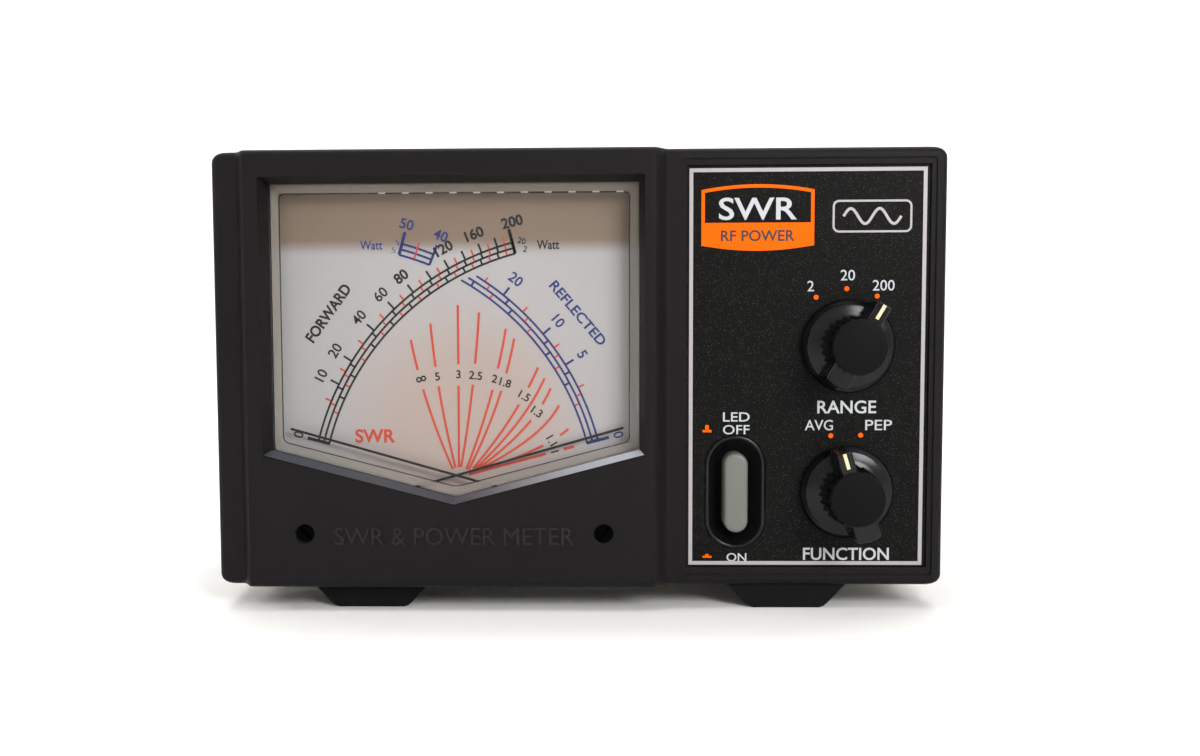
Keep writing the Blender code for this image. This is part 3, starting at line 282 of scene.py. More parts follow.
@dataclass(frozen=True)
class Coated(Finish):
    """Sheet metal under powder coat or paint: a low orange peel and a few lighter specks."""

    peel_mm: float = 1.2
    depth_mm: float = 0.015
    speck: str = "#3c3a3c"
    speck_mm: float = 0.5

    def pattern(self, canvas: Canvas) -> None:
        """Adds the peel, and specks at the cell centres of a finer pattern.

        Args:
            canvas: The material's nodes.
        """
        peel = canvas.noise(self.peel_mm, 2.0)
        specks = add_node(canvas.tree, "ShaderNodeTexVoronoi", {},
                          {"Scale": per_metre(self.speck_mm)}, {"Vector": canvas.place})
        share = add_node(canvas.tree, "ShaderNodeMapRange", {},
                         {"From Min": 0.25, "From Max": 0.0, "To Min": 0.0, "To Max": 0.4},
                         {"Value": specks.outputs["Distance"]})
        canvas.paint(self.colour, self.speck, share.outputs["Result"])
        canvas.relief(peel, self.depth_mm, 0.4)
        canvas.gloss(peel, self.roughness, 0.06, 0.08)


class Lay(Enum):
    """The direction that a metal's working marks run in."""

    ACROSS = (0.02, 1.0, 1.0)
    UPRIGHT = (1.0, 1.0, 0.02)
    DEEP = (1.0, 0.02, 1.0)
    EVEN = (1.0, 1.0, 1.0)


@dataclass(frozen=True)
class Worked(Finish):
    """Rolled, drawn or turned metal: fine marks along one direction, with duller patches."""

    lay: Lay = Lay.EVEN
    mark_mm: float = 0.12
    tarnish: str = "#6f6a60"
    tarnished: float = 0.35

    def pattern(self, canvas: Canvas) -> None:
        """Stretches one noise along the lay, and blends a second one into the colour.

        Args:
            canvas: The material's nodes.
        """
        along = add_node(canvas.tree, "ShaderNodeMapping", {}, {"Scale": self.lay.value},
                         {"Vector": canvas.place}).outputs["Vector"]
        marks = canvas.noise(self.mark_mm, 2.0, place=along)
        patches = canvas.noise(5.0, 5.0)
        canvas.paint(self.colour, self.tarnish, canvas.scaled(patches, self.tarnished))
        canvas.relief(marks, FILM, 0.5)
        canvas.gloss(marks, self.roughness, 0.08, 0.12)


@dataclass(frozen=True)
class Ink(Finish):
    """Screen-printed ink: an even matt film, a little thinner where the mesh left it so."""

    thin: str = "#808080"
    thinned: float = 0.22

    def pattern(self, canvas: Canvas) -> None:
        """Blends a little of the thin colour in through a fine noise.

        Args:
            canvas: The material's nodes.
        """
        film = canvas.noise(0.6, 2.0)
        canvas.paint(self.colour, self.thin, canvas.scaled(film, self.thinned))
        canvas.relief(film, FILM, 0.3)


@dataclass(frozen=True)
class DialPaint(Finish):
    """Matt dial lacquer, with a brown painted shadow along the top where the window's upper lip
    shades it.

    Below the band of painted shadow it is a cool off-white, with a pink cast round the middle.
    """

    # brown of the painted shadow along the top of the dial
    browned: str = "#93806f"
    blushed: str = "#c8b5ad"
    edge_height: float = 0.0828
    edge_softness: float = 0.0022
    cast_centre: Place = (-0.026, 0.0, 0.042)
    cast_radius: float = 0.046

    def pattern(self, canvas: Canvas) -> None:
        """Grades the colour: a brown band of painted shadow above, and a soft round cast below.

        Args:
            canvas: The material's nodes.
        """
        split = canvas.split()
        flat = add_node(canvas.tree, "ShaderNodeCombineXYZ",
                        links={"X": split["X"], "Z": split["Z"]})
        size = 1 / self.cast_radius
        centred = add_node(canvas.tree, "ShaderNodeMapping", {},
                           {"Location": tuple(-c * size for c in self.cast_centre),
                            "Scale": (size, size, size)}, {"Vector": flat.outputs[0]})
        cast = add_node(canvas.tree, "ShaderNodeTexGradient",
                        {"gradient_type": "QUADRATIC_SPHERE"}, {},
                        {"Vector": centred.outputs["Vector"]})
        spread = canvas.eased(cast.outputs["Fac"], 0.0, 0.5)
        # the painted shadow fades in above this height
        band = canvas.eased(split["Z"], self.edge_height - self.edge_softness,
                            self.edge_height + self.edge_softness)
        canvas.paint(canvas.mixed(self.colour, self.blushed, spread), self.browned, band)
        canvas.relief(canvas.noise(0.4, 2.0), FILM, 0.3)


@dataclass(frozen=True)
class Graded(Finish):
    """Satin plastic with a painted highlight that grows towards its right end, and a coarse grain.
    """

    # the colour of the painted highlight at the right end
    far: str = "#ffffff"
    start: float = -0.03
    end: float = 0.014

    def pattern(self, canvas: Canvas) -> None:
        """Blends from the base colour to the painted highlight along the width.

        Args:
            canvas: The material's nodes.
        """
        canvas.paint(self.colour, self.far,
                     canvas.eased(canvas.split()["X"], self.start, self.end))
        grain = canvas.noise(0.5, 3.0)
        canvas.relief(grain, 0.03, 0.7)
        canvas.gloss(grain, self.roughness, 0.08, 0.1)


@dataclass(frozen=True)
class Laminate(Finish):
    """A printed board: solder mask over copper tracks that stand a little proud."""

    track: str = "#2f7a45"
    track_mm: float = 14.0

    def pattern(self, canvas: Canvas) -> None:
        """Draws tracks as the edges of a stretched brick pattern.

        Args:
            canvas: The material's nodes.
        """
        flat = add_node(canvas.tree, "ShaderNodeMapping", {},
                        {"Rotation": (math.pi / 2, 0.0, 0.0)}, {"Vector": canvas.place})
        mask, edge = (0, 0, 0, 1), (1, 1, 1, 1)
        tracks = add_node(canvas.tree, "ShaderNodeTexBrick", {"offset": 0.37, "squash": 1.6},
                          {"Scale": per_metre(self.track_mm), "Mortar Size": 0.06,
                           "Color1": mask, "Color2": mask, "Mortar": edge},
                          {"Vector": flat.outputs["Vector"]}).outputs["Color"]
        canvas.paint(self.colour, self.track, tracks)
        canvas.relief(tracks, 0.05, 0.5)


@dataclass(frozen=True)
class Wound(Finish):
    """Enamelled wire in close layers: a row of fine rounded ridges."""

    ridge: str = "#c2713c"
    wire_mm: float = 0.25

    def pattern(self, canvas: Canvas) -> None:
        """Draws bands across the depth, lighter and higher along each wire.

        Args:
            canvas: The material's nodes.
        """
        wires = add_node(canvas.tree, "ShaderNodeTexWave", {"bands_direction": "Y"},
                         {"Scale": per_metre(self.wire_mm * 6.0)},
                         {"Vector": canvas.place}).outputs["Fac"]
        canvas.paint(self.colour, self.ridge, wires)
        canvas.relief(wires, 0.05, 0.6)


FINISHES: dict[str, Finish] = {
    # ABS is mixed through with its colour, so edges don't wear to another one.
    "case_abs": Moulded("black moulded ABS", "#171516", 0.45, ior=1.16, dust="#211e1f",
                        dusty=0.3),
    # raised_abs is lighter than case_abs: a painted highlight standing in for light on the raised
    # words
    "raised_abs": Moulded("black ABS lightened by painted highlight", "#211e1d", 0.4, ior=1.24, dust="#292524"),
    "knob_abs": Moulded("polished black ABS", "#070708", 0.2, ior=1.32, grain_mm=1.2,
                        depth_mm=0.002, strength=0.15, dust="#121213"),
    "knob_cap": Moulded("matt black ABS", "#0d0d0e", 0.5, ior=1.13, grain_mm=0.3,
                        depth_mm=0.01, dust="#151516"),
    "screw_black": Moulded("black acetal", "#020202", 0.8, ior=1.1, dust="#040404"),
    "button_abs": Moulded("grey moulded ABS", "#5f615c", 0.42, grain_mm=0.3, depth_mm=0.01,
                          dust="#696b64", dusty=0.5),
    "white_abs": Moulded("white moulded ABS", "#dad9d4", 0.5, dust="#e8e6e0"),
    "dark_phenolic": Moulded("dark moulded phenolic", "#241f1b", 0.5, dust="#3a322b"),
    "foot_rubber": Moulded("moulded black rubber", "#0b0a0b", 0.7, ior=1.2, grain_mm=0.5,
                           strength=0.5, dust="#161415"),
    "insulator": Moulded("white PTFE", "#e4e2da", 0.45, dust="#cfcabd"),
    "cover_paint": Coated("black powder coat on steel", "#151415", 0.45, ior=1.3,
                          depth_mm=0.03),
    "panel_paint": Coated("black wrinkle enamel on aluminium", "#0d0d0c", 0.4, ior=1.15,
                          peel_mm=0.5, depth_mm=0.08, speck="#77776f"),
    "needle_paint": Coated("black lacquer on aluminium", "#0d0d0d", 0.5, peel_mm=0.5),
    "zinc": Worked("zinc-plated sheet steel", "#b9b9b4", 0.35, 1.0, lay=Lay.ACROSS,
                   tarnish="#8d8f86"),
    "bright_steel": Worked("nickel-plated steel", "#c4c3bd", 0.25, 1.0, lay=Lay.EVEN,
                           tarnish="#97948a"),
    "nickel": Worked("nickel-plated brass", "#c3c1bd", 0.27, 1.0, lay=Lay.DEEP,
                     tarnish="#96928c"),
    "brass": Worked("stamped brass", "#c8a15a", 0.32, 1.0, lay=Lay.ACROSS, tarnish="#8e6d35"),
    "bronze": Worked("phosphor bronze wire", "#c08a5c", 0.3, 1.0, tarnish="#8a5c3c"),
    "soft_iron": Worked("annealed soft iron", "#7c7b79", 0.45, 1.0, mark_mm=0.3,
                        tarnish="#5a554e"),
    "magnet": Worked("ground magnet alloy", "#6b6a6b", 0.4, 1.0, mark_mm=0.2, lay=Lay.UPRIGHT,
                     tarnish="#4b4a4b"),
    "winding": Wound("enamelled copper winding", "#8a4a24", 0.35, 0.5),
    "board": Laminate("glass epoxy board", "#1d5230", 0.38),
    "dial_paint": DialPaint("dial lacquer on aluminium", "#c6c3c4", 0.6),
    "clear": Finish("clear moulded acrylic", "#15181a", 0.04, ior=1.49, alpha=0.12),
    # a painted highlight: the light strip along the clear cover's edge
    "clear_edge_highlight": Finish("painted highlight on acrylic edge", "#d8d5d0", 0.2, ior=1.49, alpha=0.35),
    "clear_shade": Finish("shaded acrylic band", "#b0a79c", 0.3, ior=1.3, alpha=0.65),
    "clear_line": Finish("dark line of an acrylic step", "#1c1a19", 0.3, alpha=0.85),
    # the sill's colour grades into a painted highlight towards its right end
    "sill": Graded("satin moulded sill", "#3f434b", 0.35, far="#b4b8c0"),
    "ink_black": Ink("black dial ink", "#161616", 0.55, thin="#3c3a3a"),
    "ink_blue": Ink("blue dial ink", "#1f2f78", 0.55, thin="#4658a0"),
    "ink_red": Ink("red dial ink", "#dc4a30", 0.55, thin="#e0745a"),
    "ink_silver": Ink("silver panel ink", "#a39ea1", 0.4, thin="#908c8e"),
    "ink_orange": Ink("orange panel ink", "#ef6000", 0.5, ior=1.15, thin="#e05800"),
    "ink_pale": Ink("pale panel ink", "#b3b6bb", 0.5, thin="#9b9ea4"),
    "cream": Ink("cream filler paint", "#dcc6a2", 0.5, thin="#c9b48e"),
}


class Store:
    """Makes each material once and hands it out by name."""

    def __init__(self) -> None:
        """Starts with no materials made."""
        self.made: dict[str, bpy.types.Material] = {}

    def __getitem__(self, name: str) -> bpy.types.Material:
        """Returns the material of a finish in the FINISHES table."""
        if name not in self.made:
            self.made[name] = FINISHES[name].material()
        return self.made[name]


# ---------------------------------------------------------------- outlines and meshes

def round_box(left: float, right: float, bottom: float, top: float, radius: float,
              steps: int = 8) -> Outline:
    """Draws a rectangle with rounded corners.

    Args:
        left: Its left edge.
        right: Its right edge.
        bottom: Its lower edge.
        top: Its upper edge.
        radius: The radius of the corners.
        steps: How many segments a corner has.

    Returns:
        Its points, anticlockwise from the upper right.
    """
    corners = ((right - radius, top - radius, 0), (left + radius, top - radius, 90),
               (left + radius, bottom + radius, 180), (right - radius, bottom + radius, 270))
    points = []
    for x, z, start in corners:
        for i in range(steps + 1):
            turn = math.radians(start + 90 * i / steps)
            points.append((x + radius * math.cos(turn), z + radius * math.sin(turn)))
    return points


def ring_points(radius: float, steps: int, centre: Flat = (0.0, 0.0)) -> Outline:
    """Returns evenly spaced points round a circle."""
    turns = (2 * math.pi * i / steps for i in range(steps))
    return [(centre[0] + radius * math.cos(t), centre[1] + radius * math.sin(t)) for t in turns]


def turn_point(point: Flat, turn: float, centre: Flat) -> Flat:
    """Turns a point clockwise about the origin by degrees, then moves it to a centre."""
    cos, sin = math.cos(math.radians(turn)), math.sin(math.radians(turn))
    return (centre[0] + point[0] * cos + point[1] * sin,
            centre[1] - point[0] * sin + point[1] * cos)


def loft(bm: bmesh.types.BMesh, sections: list[tuple[Outline, float]], capped: bool = True) -> None:
    """Joins outlines at different depths into one wall, with caps at both ends.

    Args:
        bm: The mesh that gets the wall.
        sections: Outlines with as many points each, and their depths, front to back.
        capped: Whether the first and the last outline are closed.
    """
    rings = [[bm.verts.new((x, depth, z)) for x, z in outline] for outline, depth in sections]
    for front, back in zip(rings, rings[1:]):
        count = len(front)
        for i in range(count):
            j = (i + 1) % count
            bm.faces.new((front[i], front[j], back[j], back[i]))
    if capped:
        bm.faces.new(rings[0][::-1])
        bm.faces.new(rings[-1])
    bmesh.ops.recalc_face_normals(bm, faces=bm.faces)


def lathe(bm: bmesh.types.BMesh, profile: list[Flat], centre: Flat, steps: int = 64) -> None:
    """Turns a profile about an axis that runs front to back.

    Args:
        bm: The mesh that gets the turned surface.
        profile: Radius and depth, from the axis or a rim back to the axis or that rim.
        centre: Where the axis crosses the front.
        steps: How many sides the circle has.
    """
    rings = []
    for radius, depth in profile:
        if radius:
            rings.append([bm.verts.new((x, depth, z))
                          for x, z in ring_points(radius, steps, centre)])
        else:
            rings.append([bm.verts.new((centre[0], depth, centre[1]))] * steps)
    for first, second in zip(rings, rings[1:]):
        for i in range(steps):
            j = (i + 1) % steps
            corners = list(dict.fromkeys((first[i], first[j], second[j], second[i])))
            if len(corners) > 2:
                bm.faces.new(corners)
    bmesh.ops.recalc_face_normals(bm, faces=bm.faces)


def flat_face(bm: bmesh.types.BMesh, verts: list[bmesh.types.BMVert]) -> None:
    """Adds one flat face that looks to the front.

    Args:
        bm: The mesh that gets the face.
        verts: Its corners.
    """
    face = bm.faces.new(verts)
    face.normal_update()
    if face.normal.y > 0:
        face.normal_flip()


def sheet(bm: bmesh.types.BMesh, outline: Outline, depth: float) -> None:
    """Adds an outline as one flat face that looks to the front."""
    flat_face(bm, [bm.verts.new((x, depth, z)) for x, z in outline])


def ribbon(bm: bmesh.types.BMesh, points: Outline, width: float, depth: float,
           closed: bool = False) -> None:
    """Draws a line of even width, as quads that look to the front.

    Args:
        bm: The mesh that gets the line.
        points: The middle of the line.
        width: Its width.
        depth: The depth that it lies at.
        closed: Whether it runs back to its first point.
    """
    count = len(points)
    pairs = []
    for i, (x, z) in enumerate(points):
        before = points[i - 1] if i or closed else points[0]
        after = points[(i + 1) % count] if i < count - 1 or closed else points[-1]
        first = Vector((x - before[0], z - before[1]))
        second = Vector((after[0] - x, after[1] - z))
        first = first.normalized() if first.length > 1e-9 else second.normalized()
        second = second.normalized() if second.length > 1e-9 else first
        side = Vector((-(first.y + second.y), first.x + second.x)).normalized()
        reach = width / 2 / max(side.dot(Vector((-first.y, first.x))), 0.35)
        pairs.append((bm.verts.new((x + side.x * reach, depth, z + side.y * reach)),
                      bm.verts.new((x - side.x * reach, depth, z - side.y * reach))))
    last = count if closed else count - 1
    for i in range(last):
        (a, b), (c, d) = pairs[i], pairs[(i + 1) % count]
        bm.faces.new((a, b, d, c))


class Lettering:
    """Sets plain characters as flat faces, by the height of their capitals."""

    def __init__(self) -> None:
        """Measures the font's capitals once."""
        heights = [v.co.y for v in self.outline("H", 0.0).vertices]
        self.cap_share = max(heights) - min(heights)

    def outline(self, words: str, weight: float) -> bpy.types.Mesh:
        """Returns the characters as a flat mesh of one unit in size."""
        curve = bpy.data.curves.new("lettering", "FONT")
        curve.body = words
        curve.offset = weight
        curve.resolution_u = 4
        holder = bpy.data.objects.new("lettering", curve)
        bpy.context.scene.collection.objects.link(holder)
        graph = bpy.context.evaluated_depsgraph_get()
        mesh = bpy.data.meshes.new_from_object(holder.evaluated_get(graph))
        bpy.data.objects.remove(holder)
        return mesh

    def set(self, bm: bmesh.types.BMesh, words: str, cap: float, centre: Flat, depth: float,
            turn: float = 0.0, width: float | None = None, weight: float = 0.0) -> None:
        """Adds words to a mesh.

        Args:
            bm: The mesh that gets the faces.
            words: What is printed.
            cap: The height of a capital.
            centre: The middle of the words.
            depth: The depth that they lie at.
            turn: How far they are turned clockwise, in degrees.
            width: The length that they are fitted to, or None for the font's own.
            weight: How much the strokes are thickened, as a share of the size.
        """
        mesh = self.outline(words, weight)
        size = cap / self.cap_share
        across = [v.co.x for v in mesh.vertices]
        middle = (min(across) + max(across)) / 2
        stretch = width / (size * (max(across) - min(across))) if width else 1.0
        verts = []
        for vert in mesh.vertices:
            flat = ((vert.co.x - middle) * size * stretch, vert.co.y * size - cap / 2)
            x, z = turn_point(flat, turn, centre)
            verts.append(bm.verts.new((x, depth, z)))
        for polygon in mesh.polygons:
            flat_face(bm, [verts[i] for i in polygon.vertices])
        bpy.data.meshes.remove(mesh)

    def set_rows(self, bm: bmesh.types.BMesh, depth: float, rows: tuple[tuple, ...]) -> None:
        """Adds several words at one depth.

        Args:
            bm: The mesh that gets the faces.
            depth: The depth that they lie at.
            rows: The words, capital height, centre, turn, width and weight of each.
        """
        for words, cap, centre, turn, width, weight in rows:
            self.set(bm, words, cap, centre, depth, turn, width, weight)


# ---------------------------------------------------------------- repeated shapes

class Blank(Enum):
    """The shape that is repeated."""

    BAR = "bar"
    DISC = "disc"
    HOOP = "hoop"


class Row:
    """A Geometry Nodes tree that sets copies of one blank at equal steps along a line."""

    def __init__(self, blank: Blank) -> None:
        """Builds the tree.

        Args:
            blank: What is repeated.
        """
        self.tree = bpy.data.node_groups.new(f"row of copies, {blank.value}", "GeometryNodeTree")
        face = self.tree.interface
        face.new_socket("Geometry", in_out="OUTPUT", socket_type="NodeSocketGeometry")
        for name, kind in (("Count", "NodeSocketInt"), ("Start", "NodeSocketVector"),
                           ("Step", "NodeSocketVector"), ("Size", "NodeSocketVector")):
            face.new_socket(name, in_out="INPUT", socket_type=kind)
        given = add_node(self.tree, "NodeGroupInput").outputs
        line = add_node(self.tree, "GeometryNodeMeshLine", {"mode": "OFFSET"}, {},
                        {"Count": given["Count"], "Start Location": given["Start"],
                         "Offset": given["Step"]})
        shape = self.shape(blank, given["Size"])
        copies = add_node(self.tree, "GeometryNodeInstanceOnPoints", {}, {},
                          {"Points": line.outputs["Mesh"], "Instance": shape})
        real = add_node(self.tree, "GeometryNodeRealizeInstances", {}, {},
                        {"Geometry": copies.outputs["Instances"]})
        add_node(self.tree, "NodeGroupOutput", {}, {}, {"Geometry": real.outputs["Geometry"]})

    def shape(self, blank: Blank, size: Socket) -> Socket:
        """Builds the blank from its size.

        Args:
            blank: What is repeated.
            size: Its size. A disc or hoop takes its diameter from X and its thickness from Y.

        Returns:
            The socket that gives the blank's geometry.
        """
        if blank is Blank.BAR:
            cube = add_node(self.tree, "GeometryNodeMeshCube", {}, {}, {"Size": size})
            return cube.outputs["Mesh"]
        parts = add_node(self.tree, "ShaderNodeSeparateXYZ", links={"Vector": size}).outputs
        radius, thickness = (add_node(self.tree, "ShaderNodeMath", {"operation": "MULTIPLY"},
                                      {1: 0.5}, {0: parts[axis]}).outputs[0] for axis in "XY")
        if blank is Blank.DISC:
            made = add_node(self.tree, "GeometryNodeMeshCylinder", {}, {"Vertices": 24},
                            {"Radius": radius, "Depth": parts["Y"]})
        else:
            path, section = (add_node(self.tree, "GeometryNodeCurvePrimitiveCircle", {},
                                      {"Resolution": steps}, {"Radius": reach}).outputs["Curve"]
                             for steps, reach in ((48, radius), (6, thickness)))
            made = add_node(self.tree, "GeometryNodeCurveToMesh", {}, {},
                            {"Curve": path, "Profile Curve": section})
        facing = add_node(self.tree, "GeometryNodeTransform", {},
                          {"Rotation": (math.pi / 2, 0.0, 0.0)}, {"Geometry": made.outputs["Mesh"]})
        return facing.outputs["Geometry"]

    def lay(self, count: int, start: Place, step: Place, size: Place) -> bpy.types.Mesh:
        """Lays the copies.

        Args:
            count: How many there are.
            start: The place of the first, in millimetres.
            step: From one to the next.
            size: The blank's size.

        Returns:
            One plain mesh with all the copies.
        """
        host = bpy.data.objects.new("row", bpy.data.meshes.new("row"))
        bpy.context.scene.collection.objects.link(host)
        modifier = host.modifiers.new("copies", "NODES")
        modifier.node_group = self.tree
        given = {"Count": count, "Start": start, "Step": step, "Size": size}
        for socket in self.tree.interface.items_tree:
            if socket.in_out == "INPUT":
                modifier[socket.identifier] = given[socket.name]
        graph = bpy.context.evaluated_depsgraph_get()
        mesh = bpy.data.meshes.new_from_object(host.evaluated_get(graph))
        bpy.data.objects.remove(host)
        return mesh


# ---------------------------------------------------------------- workbench

class Workbench:
    """Turns meshes in millimetres into pieces in the frame, and dresses CAD nodes."""

    def __init__(self, frame: dict) -> None:
        """Reads the two planes that every place is counted from.
        """
        self.nodes = frame["nodes"]
        self.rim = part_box("control_panel")[0].y - MM
        self.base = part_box("front_bezel")[0].z
        self.finishes = Store()
        self.lettering = Lettering()
        self.rows = {blank: Row(blank) for blank in Blank}

    def centre(self, node: str) -> Flat:
        """Finds the middle of a CAD node as seen from the front.

        Args:
            node: Its name.

        Returns:
            The distance to the right and the height, in millimetres.
        """
        low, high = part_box(node)
        middle = (low + high) / 2 / MM
        return (middle.x, middle.z - self.base / MM)

    def depth(self, node: str) -> Flat:
        """Returns how far behind the rim a CAD node starts and ends."""
        low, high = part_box(node)
        return ((low.y - self.rim) / MM, (high.y - self.rim) / MM)

    def in_frame(self) -> Matrix:
        """Returns the matrix from millimetres at the rim to metres in the frame."""
        return Matrix.Translation((0.0, self.rim, self.base)) @ Matrix.Scale(MM, 4)

    def piece(self, name: str, shape: bmesh.types.BMesh, finish: str, body: str, slot: str,
              replaces: tuple[str, ...] = (), smooth: float = 32.0, edge: float = 0.0,
              weighted: bool = False) -> None:
        """Finishes a piece: its place, shading, material, body and what it stands for.

        Args:
            name: The piece's name.
            shape: Its mesh, in millimetres.
            finish: A name in the FINISHES table.
            body: The CAD body that it moves with.
            slot: The record's material slot.
            replaces: CAD nodes that it stands for.
            smooth: Edges under this angle are shaded smooth.
            edge: The radius of its rounded edges, or 0 for none.
            weighted: Whether broad faces keep their flat shading next to rounded edges.
        """
        mesh = bpy.data.meshes.new(name)
        shape.to_mesh(mesh)
        shape.free()
        mesh.transform(self.in_frame())
        mesh.materials.append(self.finishes[finish])
        mesh.shade_smooth()
        mesh.set_sharp_from_angle(angle=math.radians(smooth))
        obj = bpy.data.objects.new(name, mesh)
        bpy.context.scene.collection.objects.link(obj)
        if edge:
            self.round_edges(obj, edge)
        if weighted:
            obj.modifiers.new("even shading", "WEIGHTED_NORMAL").keep_sharp = True
        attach(obj, body)
        if replaces:
            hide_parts(*replaces)
        LOG.info("made %s for body %s, %d faces", name, body, len(mesh.polygons))

    def round_edges(self, obj: bpy.types.Object, radius: float) -> None:
        """Adds a live bevel to the sharp edges.

        Args:
            obj: The piece.
            radius: The radius in millimetres.
        """
        bevel = obj.modifiers.new("rounded edges", "BEVEL")
        bevel.width = radius * MM
        bevel.segments = 3
        bevel.limit_method = "ANGLE"
        bevel.angle_limit = math.radians(35)
        bevel.harden_normals = True

    def carve(self, blank: bmesh.types.BMesh,
              cutters: list[bmesh.types.BMesh]) -> bmesh.types.BMesh:
        """Cuts shapes out of a solid.

        Args:
            blank: The solid, in millimetres.
            cutters: Closed shapes that are taken away. They are used up.

        Returns:
            The solid with the cuts made.
        """
        made = []
        for shape in [blank, *cutters]:
            bmesh.ops.recalc_face_normals(shape, faces=shape.faces)
            mesh = bpy.data.meshes.new("carving")
            shape.to_mesh(mesh)
            shape.free()
            obj = bpy.data.objects.new("carving", mesh)
            bpy.context.scene.collection.objects.link(obj)
            made.append(obj)
        for cutter in made[1:]:
            boolean = made[0].modifiers.new("cut", "BOOLEAN")
            boolean.operation = "DIFFERENCE"
            boolean.solver = "EXACT"
            boolean.object = cutter
        graph = bpy.context.evaluated_depsgraph_get()
        mesh = bpy.data.meshes.new_from_object(made[0].evaluated_get(graph))
        for obj in made:
            bpy.data.objects.remove(obj)
        carved = bmesh.new()
        carved.from_mesh(mesh)
        bpy.data.meshes.remove(mesh)
        return carved

    def repeated(self, blank: Blank, count: int, starts: tuple[Place, ...], step: Place,
                 size: Place) -> bmesh.types.BMesh:
        """Lays a row of copies from each of several starts.

        Args:
            blank: What is repeated.
            count: How many there are in a row.
            starts: The place of the first in each row.
            step: From one to the next in a row.
            size: The blank's size.

        Returns:
            One mesh with all the rows.
        """
        bm = bmesh.new()
        for start in starts:
            mesh = self.rows[blank].lay(count, start, step, size)
            bm.from_mesh(mesh)
            bpy.data.meshes.remove(mesh)
        return bm

    def dress(self, finish: str, *nodes: str) -> None:
        """Gives CAD nodes that keep their own shape their material.

        Args:
            finish: A name in the FINISHES table.
            nodes: Their names.
        """
        for node in nodes:
            mesh = self.nodes[node].data
            mesh.materials.clear()
            mesh.materials.append(self.finishes[finish])
            LOG.info("dressed %s in %s", node, finish)


# ---------------------------------------------------------------- case

